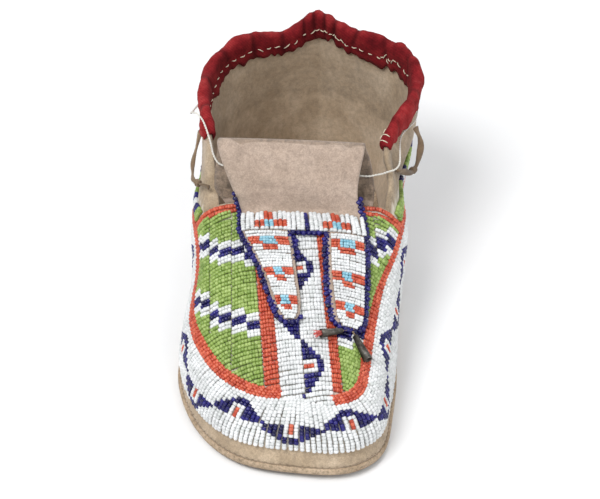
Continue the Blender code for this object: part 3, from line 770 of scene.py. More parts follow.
def rawhide_surface():
    """Rawhide sole: harder and yellower, scuffed, and darker in patches where it faces down."""
    s = Surface("rawhide_sole_surface")
    cloud = s.noise(30.0, 4.0, 0.6, 0.6)
    shades = ((0.34, 0.245, 0.155), (0.46, 0.345, 0.235), (0.57, 0.445, 0.32))
    body = s.ramp(cloud, list(zip((0.30, 0.52, 0.75), shades, strict=True)))
    scuff = s.noise(3.2, 5.0, 0.7, 0.2, s.stretched((1.0, 0.25, 1.0)))
    body = s.dapple(0.6, body, scuff, [(0.36, 0.72), (0.62, 1.08)])
    body = s.dapple(0.8, body, s.noise(1.3, 4.0, 0.7), [(0.36, 0.45), (0.55, 1.08)])
    # Darker in patches where the surface faces down
    normal = s.node("NewGeometry", {}).outputs["Normal"]
    down = s.product(s.node("SeparateXYZ", {0: normal}).outputs["Z"], -1.0)
    under = s.ramp(down, [(0.3, 0.0), (0.8, 1.0)])
    patches = s.ramp(s.noise(18.0, 4.0), [(0.35, 0.25), (0.65, 0.9)])
    body = s.mix(s.product(under, patches), body, (0.20, 0.145, 0.095))
    s.bump([(s.noise(5.0, 3.0), 0.3, 0.6), (scuff, 0.35, 0.25), (s.noise(0.5, 3.0), 0.4, 0.12)])
    s.set("Specular IOR Level", 0.35)
    return s.finish(body, s.ramp(scuff, [(0.3, 0.9), (0.7, 0.66)]))


def cloth_surface():
    """Red wool stroud: felted twill, with painted shade in its folds and inside, and faded on the edge.
    """
    s = Surface("red_wool")
    cloud = s.noise(8.0, 5.0, 0.65)
    fresh_and_shaded = ((0.085, 0.004, 0.007), (0.165, 0.008, 0.012), (0.25, 0.018, 0.020))
    faded = ((0.19, 0.011, 0.012), (0.31, 0.021, 0.023), (0.43, 0.055, 0.055))
    fresh_and_shaded, faded = (
        s.ramp(cloud, list(zip((0.30, 0.50, 0.72), shades, strict=True)))
        for shades in (fresh_and_shaded, faded)
    )
    # Faded wool on the outside and the crest; the inside is kept dark, as painted shade
    body = s.mix(s.attribute("fade"), fresh_and_shaded, faded)
    # Painted shade: near black where the pleats push the wool in
    body = s.mix(s.attribute("crease"), body, (0.030, 0.002, 0.004))
    inputs = {"Vector": s.coordinates, "Scale": 320.0, "Distortion": 2.5}
    inputs |= {"Detail": 2.0, "Detail Scale": 3.0}
    twill = s.node("TexWave", inputs, wave_type="BANDS", bands_direction="DIAGONAL")
    twill = twill.outputs["Fac"]
    fuzz = s.noise(0.9, 4.0, 0.75)
    body = s.dapple(0.6, body, fuzz, [(0.3, 0.55), (0.7, 1.3)])
    body = s.dapple(0.3, body, twill, [(0.2, 0.7), (0.8, 1.15)])
    s.bump([(s.noise(3.5, 4.0), 0.6, 0.9), (twill, 0.3, 0.22), (fuzz, 0.6, 0.25)])
    s.set("Sheen Weight", 0.07)
    s.set("Sheen Roughness", 0.5)
    s.set("Sheen Tint", (0.9, 0.35, 0.3, 1.0))
    s.set("Specular IOR Level", 0.12)
    return s.finish(body, 0.95)


def tin_surface():
    """Rolled tin gone dark, rubbed bright in places."""
    s = Surface("old_tin")
    worn = s.noise(5.0, 5.0, 0.7)
    shades = ((0.045, 0.040, 0.034), (0.12, 0.11, 0.095), (0.34, 0.33, 0.31))
    body = s.ramp(worn, list(zip((0.35, 0.55, 0.75), shades, strict=True)))
    s.set("Metallic", 0.85)
    s.bump([(s.noise(1.2, 4.0, 0.7), 0.3, 0.15), (s.noise(4.0, 2.0), 0.3, 0.4)])
    return s.finish(body, s.ramp(worn, [(0.35, 0.62), (0.75, 0.32)]))


def thread_surface(name, dark, pale, size=0.5):
    """Twisted fibre, stained a little."""
    s = Surface(name)
    fibre = s.noise(size, 4.0, 0.7)
    stain = s.noise(9.0, 3.0)
    body = s.ramp(fibre, [(0.3, dark), (0.7, pale)])
    body = s.dapple(0.35, body, stain, [(0.35, 0.78), (0.65, 1.0)])
    s.bump([(fibre, 0.5, 0.12)])
    s.set("Sheen Weight", 0.2)
    s.set("Specular IOR Level", 0.2)
    return s.finish(body, 0.9)


# Each glass's middle, deepest and palest shade, and its coat where it is thicker
GLASS = {
    "white_beads": ((0.75, 0.76, 0.76), (0.65, 0.67, 0.66), (0.83, 0.84, 0.845)),
    "dark_blue_beads": ((0.006, 0.004, 0.105), (0.003, 0.002, 0.045), (0.020, 0.015, 0.190), 0.22),
    "red_beads": ((0.56, 0.090, 0.044), (0.43, 0.055, 0.028), (0.68, 0.150, 0.080)),
    "green_beads_glass": ((0.275, 0.39, 0.092), (0.195, 0.30, 0.058), (0.38, 0.50, 0.155)),
    "light_blue_beads": ((0.27, 0.54, 0.66), (0.18, 0.44, 0.56), (0.38, 0.65, 0.75)),
}
WHITE, BLUE, RED, GREEN, SKY = range(5)
BEAD_SURFACES = [bead_surface(name, *shades) for name, shades in GLASS.items()]
# Each hide's dark, middle and pale shade
SMOKED = ((0.36, 0.265, 0.170), (0.50, 0.385, 0.265), (0.62, 0.50, 0.37))
SUEDE = ((0.40, 0.305, 0.238), (0.455, 0.35, 0.278), (0.51, 0.40, 0.325))
WORN_HIDE = ((0.095, 0.062, 0.036), (0.21, 0.142, 0.085), (0.37, 0.265, 0.168))
UPPER_HIDE = hide_surface("quarter_hide", SMOKED, pebble=0.4, beaded=True)
INNER_HIDE = hide_surface("inner_hide", SMOKED)
TONGUE_SUEDE = hide_surface("tongue_hide", SUEDE, 1.3, 0.36)
THONG_HIDE = hide_surface("thong_hide", WORN_HIDE, 0.8)
RAWHIDE = rawhide_surface()
RED_WOOL = cloth_surface()
OLD_TIN = tin_surface()
COTTON = thread_surface("cotton_string", (0.55, 0.52, 0.45), (0.83, 0.81, 0.76))
SINEW = thread_surface("sinew_thread", (0.55, 0.47, 0.34), (0.80, 0.72, 0.56))
SEAM_SINEW = thread_surface("seam_sinew", (0.14, 0.10, 0.065), (0.30, 0.225, 0.15))
HAIR = thread_surface("dyed_hair", (0.45, 0.05, 0.045), (0.80, 0.20, 0.17), 0.3)


# --------------------------------------------------------------------- cords


def wall_route(stops):
    """Points off the wall: side, column, height z and gap of each stop."""
    route = []
    for side, k, z, gap in stops:
        heights = np.linspace(0, WALL.top_at(side, k), 200)
        height = np.interp(z, WALL.point(side, k, heights)[:, 2], heights)
        route.append(WALL.point(side, k, height) + gap * WALL.off(side, k, height))
    return route


def strand_mesh(name, path, radius, surface, sides, twist, flat=1.0, strands=1):
    """A cord of strands laid round each other, or one flat strip that turns."""
    side, up = frames_along(path)
    own, orbit = (radius, 0.0) if strands == 1 else (0.56 * radius, 0.46 * radius)
    tubes = []
    for strand in range(strands):
        turn = 2 * math.pi * (along(path) / twist + strand / strands)
        cos, sin = np.cos(turn)[:, None], np.sin(turn)[:, None]
        out, over = cos * side + sin * up, cos * up - sin * side
        u, v = (out, over) if strands == 1 else (side, up)
        tubes.append((path + orbit * out, own * u, own * flat * v))
    return tube_mesh(name, tubes, sides, surface)


def tie_string_route():
    """Across the throat behind the tongue, and round the quarters under the collar."""
    gap = 0.5 * STRING_DIAMETER + 0.7
    front = [
        (-6.0, 12.6, 77.0), (10.0, 12.4, 76.5), (24.0, 12.6, 76.0), (33.0, 13.0, 75.2),
        (37.5, 15.2, 74.6), (42.0, 18.5, 73.8), (48.0, 26.0, 73.0),
    ]
    outside = [("medial", k, STRING_HEIGHT, gap) for k in range(26, LAST_COLUMN, 2)]
    outside += [("lateral", k, STRING_HEIGHT, gap) for k in range(LAST_COLUMN, 29, -2)]
    back = [
        (-56.2, 61.0, 75.5), (-56.0, 53.0, 80.5), (-53.0, 46.5, 84.6), (-49.0, 39.0, 85.2),
        (-44.8, 27.0, 82.6), (-42.3, 18.2, 80.4), (-38.0, 13.2, 78.6), (-26.0, 12.2, 77.6),
        (-9.0, 12.4, 77.0),
    ]
    return front + wall_route(outside) + back


# Columns, heights z and gaps of the thongs' loops at the quarters' fronts
THONG_STOPS = {
    "lateral": (
        (26, 71.0, 0.0), (25, 67.0, 1.4), (24, 62.5, 2.8),
        (23, 60.5, 3.0), (22, 60.8, 2.8), (21, 62.4, 2.6),
    ),
    "medial": (
        (23, 67.5, 0.3), (24, 61.0, 2.8), (25, 57.0, 4.0),
        (26, 58.0, 5.2), (27, 66.0, 4.5), (27, 75.0, 4.0),
    ),
}


def thong_route(side):
    """The thong's loop off the wall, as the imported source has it."""
    off = 0.5 * THONG_DIAMETER + 0.5
    return wall_route([(side, k, z, off + gap) for k, z, gap in THONG_STOPS[side]])


# Turns of a thong's knot, how far round the thong they lie and how far along it
KNOT_TURNS = 2.3
KNOT_RADIUS = 1.25
KNOT_SPREAD = 1.6


def make_knot(side, path):
    """A turn of the thong round itself, where it is knotted."""
    turns = np.linspace(0, KNOT_TURNS * 2 * math.pi, 48)[:, None]
    spots = int(KNOT_AT[side] * len(path)) + np.linspace(-KNOT_SPREAD, KNOT_SPREAD, 48)
    rows = np.arange(len(path))
    centre, u, v = (read_table(spots, rows, line) for line in (path, *frames_along(path)))
    wrap = centre + KNOT_RADIUS * (np.cos(turns) * u + np.sin(turns) * v)
    knot = strand_mesh(f"thong_knot_{side}", wrap, 0.75, THONG_HIDE, 8, 9.0, 0.8)


def make_cords():
    """The cotton string and the two hide thongs, where the frame has them."""
    route = tie_string_route()
    path, line = smooth_route(route, 500), place(smooth_route(route, 78))
    width = 0.44 * STRING_DIAMETER
    string = strand_mesh("twisted_string", path, width, COTTON, 6, 3.4, strands=2)
    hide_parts("tie_string")
    for side in SIDES:
        path = smooth_route(thong_route(side), 60)
        name, width = f"hide_thong_{side}", THONG_WIDTH[side]
        thong = strand_mesh(name, path, width, THONG_HIDE, 10, 34.0, 0.55)
        line = place(path[::4])
        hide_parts(f"thong_{side}")
        make_knot(side, path)


# ------------------------------------------------------------- sole and upper


def make_sole():
    """Rawhide sole with a rounded edge."""
    columns = np.arange(LAST_COLUMN * FINE + 1) / FINE
    lateral, medial = (LAST.parameter(side, columns) for side in SIDES)
    edge = LAST.sample(np.concatenate([lateral, medial[-2:0:-1]]))[:, :2]
    spine = LAST.centre(columns)
    inward = np.vstack([spine, spine[-2:0:-1]]) - edge
    toward = unit(inward)
    # share of the way to the spine, inset in edge rounds, share of the thickness
    rings = [(share, 0.0, 0.0) for share in (1.0, 0.75, 0.5, 0.28, 0.12)]
    rings += [(0.0, 1.9, 0.0), (0.0, 0.75, 0.12), (0.0, 0.2, 0.35), (0.0, 0.0, 0.6)]
    rings += [(0.0, 0.12, 0.82), (0.0, 0.5, 0.95), (0.0, 1.1, 1.0)]
    rings += [(share, 0.0, 1.0) for share in (0.12, 0.5, 0.75, 1.0)]
    points = []
    for share, inset, height in rings:
        plan = edge + inward * share + toward * inset * SOLE_EDGE_ROUND
        z = sole_underside(*plan.T) + height * SOLE_THICKNESS
        points.append(np.column_stack([plan, z]))
    faces = grid_faces(len(rings), len(edge), closed=True)
    made = mesh_object("rawhide_sole", np.vstack(points), faces, [RAWHIDE])
    weld(made, 0.02 * MM)
    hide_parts("sole")


# Rows of the upper's faces up its side and over the vamp
SIDE_ROWS, OVER_ROWS = 26, 14
# How dark the quarters' bare hide is painted just over the beads, as painted shade that is deeper on
# the medial side, and how high it reaches
QUARTER_SHADE = {"lateral": 0.35, "medial": 0.5}
QUARTER_SHADE_REACH = 25.0
MARGIN_GRIME = 0.10
# How much of the hide's own colour gives way to a pale one where beads are sewn over it: partly unfaded
# hide, partly painted light that lifts the shade in the gaps between the beads
COVERED = 0.85


def upper_rib(side, i):
    """One rib of the upper, with how covered it is and how darkened at each point: dirt on the margin,
    painted shade on the quarters.
    """
    column, throat = i / FINE, VAMP_COLUMNS * FINE
    heights = np.linspace(0, WALL.top[side][i], SIDE_ROWS + 1)
    if i <= throat:
        rest = np.linspace(WALL.top[side][i], WALL.whole[side][i], OVER_ROWS + 1)
        heights = np.concatenate([heights, rest[1:]])
    rib = WALL.point(side, column, heights)
    if i <= throat:
        rib[-1] = LAST.rib(side, column, True)[-1]
    low, _, high = (float(v) for v in WALL.lanes(side, column))
    beads_top = high + 2 * RED_LANE
    bare = (i >= throat) & (heights > beads_top)
    rise = np.clip((heights - beads_top) / QUARTER_SHADE_REACH, 0.0, 1.0)
    # Painted shade on the quarters' bare hide, darkest just over the beads; dirt on the margin below
    # them
    shaded = QUARTER_SHADE[side] * (1.0 - 0.6 * rise)
    grime = np.where(bare, shaded, np.where(heights < low, MARGIN_GRIME, 0.0))
    return rib, np.where((heights < low + 1.0) | bare, 0.0, COVERED), grime


def make_upper():
    """The hide: one skin from the toe over the vamp and round the quarters."""
    final = LAST_COLUMN * FINE
    points, faces, covered, grime = [], [], [], []
    for side in SIDES:
        start = []
        for i in range(final + 1):
            start.append(len(points))
            for values, found in zip((points, covered, grime), upper_rib(side, i), strict=True):
                values.extend(found)
        for i in range(final):
            for row in range(SIDE_ROWS + (OVER_ROWS if i < VAMP_COLUMNS * FINE else 0)):
                a, b = start[i] + row, start[i + 1] + row
                outward = side == "lateral"
                faces.append((a, b, b + 1, a + 1) if outward else (a, a + 1, b + 1, b))
    made = mesh_object("hide_upper", points, faces, [UPPER_HIDE, INNER_HIDE])
    add_values(made, "covered", covered)
    add_values(made, "grime", grime)
    weld(made, 0.05 * MM)
    work = made.modifiers.new("wall", "SOLIDIFY")
    work.thickness = HIDE * MM
    work.offset = -1.0
    work.material_offset = 1
    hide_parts("upper")
    return made


# ---------------------------------------------------------------------- beads


class Beads:
    """Gathers beads and makes them one mesh, a colour of glass for each."""

    SEGMENTS = 8
    # Places along a bead as shares of its length, and shares of its radius there
    PROFILE = ((-0.5, 0.83), (-0.30, 1.0), (0.30, 1.0), (0.5, 0.83))

    def __init__(self, rng):
        self.rng = rng
        self.rows = []

    def places(self, count):
        """Middles of a string's beads as shares of its length, none quite alike."""
        lengths = self.rng.normal(1.0, 0.07, count)
        ends = np.concatenate([[0], np.cumsum(lengths)]) / lengths.sum()
        return 0.5 * (ends[1:] + ends[:-1])

    def add(self, centres, runs, ups, colours, lengths, width):
        """Beads by their middles, their ways along and up, and what they are like."""
        widths = np.full(len(centres), width)
        self.rows.append(np.column_stack([centres, runs, ups, colours, lengths, widths]))

    def string(self, centres, ups, colours, width=BEAD_WIDTH):
        """A string of beads: centres in order, the way up, a colour for each."""
        run = np.gradient(centres, axis=0)
        pitch = np.linalg.norm(run, axis=1)
        run = run / pitch[:, None]
        sway = np.linspace(-1, 1, len(centres)) * self.rng.normal(0, 0.16)
        sway += self.rng.normal(0, 0.12)
        centres = centres + sway[:, None] * np.cross(run, ups)
        self.add(centres, run, ups, colours, pitch, width)

    def uneven_rings(self):
        """Every bead's rings of points and colour, a little off in place and size."""
        rng = self.rng
        rows = np.vstack(self.rows)
        centre, run, up = rows[:, :3], rows[:, 3:6], rows[:, 6:9]
        colour, length, width = rows[:, 9].astype(int), rows[:, 10], rows[:, 11]
        count = len(rows)
        run = unit(run + rng.normal(0, 0.07, (count, 3)))
        side = unit(np.cross(run, up))
        up = np.cross(side, run)
        centre = centre + rng.normal(0, 0.06, (count, 3))
        length = length * rng.uniform(0.95, 1.04, count)
        width = width * rng.normal(1.0, 0.045, count)
        turn = rng.uniform(0, 2 * math.pi, count)
        points = []
        for at, radius in self.PROFILE:
            middle = centre + (at * length)[:, None] * run
            for k in range(self.SEGMENTS):
                angle = turn + 2 * math.pi * k / self.SEGMENTS
                out = np.cos(angle)[:, None] * side + np.sin(angle)[:, None] * up
                points.append(middle + (0.5 * radius * width)[:, None] * out)
        return np.stack(points, axis=1), colour

    def build(self, name, slot="beads"):
        """Makes the mesh, a colour for each bead and a tint within it."""
        points, colour = self.uneven_rings()
        count, each = points.shape[:2]
        starts = np.arange(count)[:, None, None] * each
        walls = np.array(grid_faces(len(self.PROFILE), self.SEGMENTS, closed=True))[:, ::-1]
        ends = np.array([range(self.SEGMENTS), range(each - 1, each - 1 - self.SEGMENTS, -1)])
        faces = (walls + starts).reshape(-1, 4).tolist()
        faces += (ends + starts).reshape(-1, self.SEGMENTS).tolist()
        indices = np.concatenate([np.repeat(colour, len(walls)), np.repeat(colour, 2)])
        made = mesh_object(name, points.reshape(-1, 3), faces, BEAD_SURFACES, indices)
        add_values(made, "tint", np.repeat(self.rng.uniform(0, 1, count), each))
        return made


def bead_count(length, least=1):
    """How many beads fill a string of this length."""
    return max(least, int(round(length / BEAD_LENGTH)))


# Blue beads on each string of a stepped triangle, from its middle outwards
MOTIF_DEPTHS = (6, 6, 5, 4, 3, 2, 1)
# Beads on a whole string of a lane
LANE_BEADS = 8


def motif(q, count):
    """Colours from the lanes' shared line outwards on string q of a triangle.

    The triangle steps down from its middle to a neck of one bead, and its
    middle holds a white box with a red bar.
    """
    depth = MOTIF_DEPTHS[abs(q)]
    colours = [BLUE] * depth + [WHITE] * (count - depth)
    if abs(q) < 2:
        colours[:4] = [WHITE] * 4
    if q == 0:
        colours[:3] = [RED] * 3
    return colours


def zigzag(j, lane, count):
    """Colours of string j of a lane pair, from the shared line outwards."""
    half = HALF_PERIOD // 2
    index = (j + half) // HALF_PERIOD
    q = (j + half) % HALF_PERIOD - half
    owner = "lower" if index % 2 == 0 else "upper"
    return motif(q, count) if owner == lane else [WHITE] * count


def arched(places, height=LANE_ARCH):
    """Heights over the hide of beads at their places along a string."""
    return BEAD_SEAT + height * (1 - (2 * places - 1) ** 2)


def rib_string(beads, side, column, h0, h1, colours, arch=LANE_ARCH):
    """A string up the wall between two heights."""
    places = beads.places(len(colours))
    heights = h0 + places * (h1 - h0)
    up = WALL.off(side, column, heights)
    lift = arched(places, arch)[:, None]
    beads.string(WALL.point(side, column, heights) + lift * up, up, colours)


def border_positions():
    """Columns of the border's strings on both sides, with their motif numbers.

    They count from a triangle near the toe, up along the lateral side and down
    along the medial side.
    """
    fine = np.arange(LAST_COLUMN * FINE + 1) / FINE
    rows, start = [], None
    for side, sign in (("lateral", 1), ("medial", -1)):
        line = WALL.point(side, fine, WALL.lanes(side, fine)[1])
        run = along(line)
        if start is None:
            at_toe = line[: 3 * VAMP_COLUMNS, 0]
            start = run[np.argmin(np.abs(at_toe - MOTIF_START_X))]
        most = int((run[-1] + start) / STRING_PITCH) + 1
        for j in [*range(most), *range(-1, -most, -1)]:
            at = sign * start + j * STRING_PITCH
            if 0 <= at <= run[-1] - 0.5 * STRING_PITCH:
                rows.append((side, float(np.interp(at, run, fine)), sign * j))
    return rows


def in_panel(side, column, height):
    """Whether the white panel on the vamp meets the border at this column."""
    x, y, _ = WALL.point(side, column, height)
    at_toe = column < 0.3 * VAMP_COLUMNS
    return at_toe and line_x("panel lateral", y) < x < line_x("panel medial", y)


def make_border(rng):
    """Lanes of strings round the foot, stepped triangles along their line."""
    pieces = {name: Beads(rng) for name in ("toe", *SIDES)}
    for side, column, j in border_positions():
        margin, middle, high = (float(v) for v in WALL.lanes(side, column))
        lane = high - middle
        beads = pieces["toe" if column < 0.5 * VAMP_COLUMNS else side]
        rib_string(beads, side, column, middle, high, zigzag(j, "upper", bead_count(lane)))
        low = max(margin, middle - lane)
        count = bead_count(middle - low)
        colours = zigzag(j, "lower", max(count, LANE_BEADS))[:count]
        rib_string(beads, side, column, middle, low + 0.2, colours)
        if low > margin + 1.0:
            colours = [WHITE] * bead_count(low - margin, 2)
            rib_string(beads, side, column, low, margin, colours)
        if not in_panel(side, column, high):
            edge = float(WALL.red_top(side, column))
            red = [RED] * bead_count(edge - high)
            rib_string(beads, side, column, high + 0.1, edge, red, 0.3)
    for name, beads in pieces.items():
        made = beads.build(f"border_beads_{name}")
        if name == "toe":
            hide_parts("border_beadwork")


# Lines between the vamp's lanes, as x at two distances along the foot
LINES = {
    "lateral rim": (-60.0, -50.0),
    "lateral field": (-41.8, -34.8),
    "lateral middle": (-31.4, -24.8),
    "lateral red": (-21.2, -9.3),
    "panel lateral": (-14.6, -2.0),
    "panel axis": (-3.8, 9.7),
    "panel medial": (9.5, 22.4),
    "medial red": (14.3, 27.0),
    "medial middle": (27.8, 40.5),
    "medial field": (38.5, 51.2),
    "medial rim": (50.5, 62.0),
}
LINE_ENDS = (-10.0, -100.0)
# Distances along the foot of the first and the last rows on the vamp
FIRST_ROW = THROAT_Y - 3.6
LAST_ROW = -112.0
# Blue bars of the green fields: distance along the foot, and how many rows
# nearer the toe each half lane has it, from the rim inwards. A white bar
# stands before and behind each.
BARS = {
    "lateral": ((-13.4, 2, (-2, -1, 1, 3, 3, 5)), (-52.4, 2, (-4, -2, 1, 3, 4, 6))),
    "medial": ((-12.4, 3, (-4, -2, 0, 2, 3, 5)), (-54.0, 2, (-4, -2, 0, 2, 4, 6))),
}
BAR_WHITE_ROWS = 2
# A lane narrower than this at the rim is left to its neighbour
SLIVER = 3.2
# Slope in plan of each field lane's rows, from the rim inwards
ROW_TILT = (0.16, 0.22, 0.15)
RED_TILT = 0.14
RED_PITCH_BACK = 2.3
PANEL_TILT = 0.145
# Gap between a lane's line and its strings' ends
LANE_GAP = 0.25
# Share of the distance between rows that a bead is wide
ROW_FILL = 0.96
# Share of the throat's cut up which its red strings run
THROAT_REACH = 0.78
# How far apart the vamp's face is read along a string
FACE_STEP = 0.5


def line_x(name, y):
    """The x of a line between lanes at a distance along the foot."""
    a, b = LINES[name]
    back, front = LINE_ENDS
    return a + (b - a) * (y - back) / (front - back)


class Vamp:
    """Reads the vamp's face from above."""

    def __init__(self, upper):
        mesh = upper.data
        self.tree = BVHTree.FromPolygons(
            [v.co.copy() for v in mesh.vertices], [tuple(p.vertices) for p in mesh.polygons]
        )

    def hit(self, x, y):
        """The face's point under a place in plan and its normal, or None beside it."""
        spot = Vector(place([x, y, 200.0]))
        found, normal = self.tree.ray_cast(spot, Vector((0, 0, -1)))[:2]
        if found is None:
            return None
        return np.array(found) / MM + PLACE, np.array(normal if normal.z > 0 else -normal)

    def height(self, x, y):
        """How high the face is at a place in plan."""
        found = self.hit(x, y)
        return found[0][2] if found else 0.0

    def row(self, y, tilt, x0, x1):
        """A line across the vamp with its normals, tilted about its middle."""
        rise = 0.5 * tilt * (x1 - x0)
        return self.line((x0, y - rise), (x1, y + rise))

    def line(self, start, end):
        """The vamp's points and normals under a straight line in plan."""
        start, end = np.array(start, float), np.array(end, float)
        count = max(2, int(np.hypot(*(end - start)) / FACE_STEP) + 1)
        spots = start + np.linspace(0, 1, count)[:, None] * (end - start)
        found = [hit for hit in (self.hit(*spot) for spot in spots) if hit]
        points, normals = zip(*found, strict=True) if found else ((), ())
        return np.array(points), np.array(normals)


def panel_edge(gap, over_red=False):
    """The line a gap inside the border's top or the red lane's, as a polygon in plan."""
    ring = []
    for side, ends in (("lateral", (VAMP_COLUMNS, 0)), ("medial", (0, VAMP_COLUMNS))):
        columns = np.linspace(*ends, 121)
        edge = WALL.red_top(side, columns) if over_red else WALL.lanes(side, columns)[2]
        ring.append(WALL.point(side, columns, edge + gap)[:, :2])
    return np.vstack(ring)


def crossings(ring, y):
    """Every x at which the ring crosses a distance along the foot."""
    a, b = ring, np.roll(ring, -1, 0)
    crosses = (a[:, 1] > y) != (b[:, 1] > y)
    a, b = a[crosses], b[crosses]
    return a[:, 0] + (y - a[:, 1]) / (b[:, 1] - a[:, 1]) * (b[:, 0] - a[:, 0])


def inside(ring, x, y):
    """Whether a point in plan lies inside the ring."""
    return bool(np.count_nonzero(x < crossings(ring, y)) % 2)


def outer_crossing(ring, y, side):
    """Where the ring crosses a distance along the foot on one side, or None."""
    at = crossings(ring, y)
    return (at.min() if side == "lateral" else at.max()) if len(at) else None


def string_on(beads, face, colours, lift=0.0, arch=LANE_ARCH, ring=None, width=BEAD_WIDTH):
    """A string of beads laid on a face's points and normals, cut off outside the ring."""
    points, normals = face
    if len(points) < 3:
        return
    places = beads.places(len(colours))
    run = along(points)
    centres = read_table(places * run[-1], run, points)
    ups = unit(read_table(places * run[-1], run, normals))
    keep = np.array([ring is None or inside(ring, c[0], c[1]) for c in centres])
    centres = centres + (lift + arched(places, arch))[:, None] * ups
    if keep.sum() > 1:
        beads.string(centres[keep], ups[keep], np.asarray(colours)[keep], width)


def row_places(vamp, left, right, pitch_back, pitch_toe, tilt=0.0):
    """Distances along the foot of a lane's rows, evenly spaced on the face."""
    places, y = [], FIRST_ROW
    while y > LAST_ROW:
        places.append(y)
        toe = (y - THROAT_Y) / (LINE_ENDS[1] - THROAT_Y)
        pitch = pitch_back + (pitch_toe - pitch_back) * toe
        x = 0.5 * (line_x(left, y) + line_x(right, y))
        here, there = vamp.height(x, y), vamp.height(x, y - pitch)
        y -= pitch * pitch / max(pitch, math.hypot(pitch, here - there)) / math.hypot(1.0, tilt)
    return places


def bar_colour(side, half, row, rows):
    """White, blue and white bars on green, each half lane with its own place."""
    for line, depth, offsets in BARS[side]:
        first = int(np.argmin(np.abs(np.array(rows) - line))) + offsets[half]
        if 0 <= row - first < depth:
            return BLUE
        if -BAR_WHITE_ROWS <= row - first < depth + BAR_WHITE_ROWS:
            return WHITE
    return GREEN


def field_row(ring, side, outer, inner, y, tilt, least):
    """Both ends in plan of a tilted row of a lane, or None where it is too short.

    Where the rim cuts a lane to a sliver, the next lane is carried out to it.
    """
    middle = 0.5 * (line_x(outer, y) + line_x(inner, y))
    out = -1 if side == "lateral" else 1
    ends = []
    for line, way in ((outer, out), (inner, -out)):
        x = line_x(line, y + tilt * (line_x(line, y) - middle))
        edge = outer_crossing(ring, y + tilt * (x - middle), side)
        if edge is None:
            return None
        room = out * (edge - x)
        if way != out and room < least:
            return None
        x -= LANE_GAP * way
        if way == out and room < SLIVER:
            for _ in range(4):
                x = edge
                edge = outer_crossing(ring, y + tilt * (x - middle), side) or edge
        ends.append((x, y + tilt * (x - middle)))
    return ends if side == "lateral" else ends[::-1]


def field_lane(beads, vamp, ring, side, outer, inner, lane, rows):
    """One green lane: lane counts from the rim inwards, two halves to each."""
    out = -1 if side == "lateral" else 1
    for row, y in enumerate(rows):
        least = SLIVER if lane < 2 else 0.5 * SLIVER
        ends = field_row(ring, side, outer, inner, y, -out * ROW_TILT[lane], least)
        if ends is None or y > THROAT_Y - 5.0:
            continue
        face = vamp.line(*ends)
        if len(face[0]) < 3:
            continue
        (x0, _), (x1, _) = ends
        count = bead_count(along(face[0])[-1], 2)
        places = x0 + (np.arange(count) + 0.5) / count * (x1 - x0)
        rim = line_x(outer, y)
        split = 0.5 * (rim + line_x(inner, y) if lane else x0 + x1)
        halves = 2 * lane + 1 - (out * (places - split) > 0)
        if lane:
            halves = halves - (out * (places - rim) > 0)
        width = ROW_FILL * (rows[row - 1] - y if row else ROW_PITCH_BACK)
        colours = [bar_colour(side, half, row, rows) for half in halves]
        string_on(beads, face, colours, ring=ring, width=width)


def red_lane(beads, vamp, ring, left, right):
    """A lane of short red strings up the vamp, beside the panel."""
    for y in row_places(vamp, left, right, RED_PITCH_BACK, ROW_PITCH_TOE, RED_TILT):
        x0, x1 = line_x(left, y) + LANE_GAP, line_x(right, y) - LANE_GAP
        face = vamp.row(y, RED_TILT, x0, x1)
        string_on(beads, face, [RED] * 5, arch=0.45, ring=ring)


def panel_lane(beads, vamp, ring, left, right, lane):
    """A white lane of the middle panel, stepped triangles along its axis."""
    rows = row_places(vamp, left, right, PANEL_PITCH, PANEL_PITCH, PANEL_TILT)
    centre = int(np.argmin(np.abs(np.array(rows) - PANEL_MOTIF_Y)))
    for row, y in enumerate(rows):
        x0, x1 = line_x(left, y) + 0.2, line_x(right, y) - 0.2
        shift = 0.5 * (x1 - x0) * PANEL_TILT * (1 if lane == "lower" else -1)
        face = vamp.row(y + shift, PANEL_TILT, x0, x1)
        if len(face[0]) < 3:
            continue
        colours = zigzag(row - centre, lane, bead_count(along(face[0])[-1], LANE_BEADS))
        if lane == "upper":
            colours = colours[::-1]
        string_on(beads, face, colours, ring=ring, width=ROW_FILL * PANEL_PITCH)


def throat_lines(beads, side):
    """Two strings of red along the cut of the throat."""
    high = THROAT_REACH * float(WALL.whole[side][VAMP_COLUMNS * FINE])
    low = float(WALL.lanes(side, VAMP_COLUMNS)[2]) - 1.0
    heights = np.arange(low, high, FACE_STEP)
    for offset in (0.20, 0.48):
        column = VAMP_COLUMNS - offset
        points = WALL.point(side, column, heights)
        colours = [RED] * bead_count(along(points)[-1])
        string_on(beads, (points, WALL.off(side, column, heights)), colours, arch=0.0)


def make_vamp(upper, rng):
    """The panel on the vamp: red lanes, the stepped panel and two green fields."""
    vamp = Vamp(upper)
    ring = panel_edge(-0.1, over_red=True)
    wide_ring = panel_edge(-0.2)
    beads = Beads(rng)
    red_lane(beads, vamp, ring, "lateral red", "panel lateral")
    red_lane(beads, vamp, ring, "panel medial", "medial red")
    panel_lane(beads, vamp, wide_ring, "panel lateral", "panel axis", "upper")
    panel_lane(beads, vamp, wide_ring, "panel axis", "panel medial", "lower")
    for side in SIDES:
        rims = [f"{side} {line}" for line in ("rim", "field", "middle", "red")]
        rows = row_places(vamp, rims[1], rims[2], ROW_PITCH_BACK, ROW_PITCH_TOE)
        for lane, (outer, inner) in enumerate(zip(rims, rims[1:], strict=False)):
            field_lane(beads, vamp, ring, side, outer, inner, lane, rows)
    for side in SIDES:
        throat_lines(beads, side)
    made = beads.build("vamp_beads")
    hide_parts("vamp_beadwork")
    return vamp


# ------------------------------------------------------- binding, tongue, cones


# How much further down the quarter's front the wool runs on the medial side
MEDIAL_REACH = 3.6
# How far it takes to narrow towards its lateral and its medial end
LATERAL_TAPER, MEDIAL_TAPER = 5.0, 8.0
# Columns of the wall from one stop of the wool to the next
COLLAR_STEP = 0.125


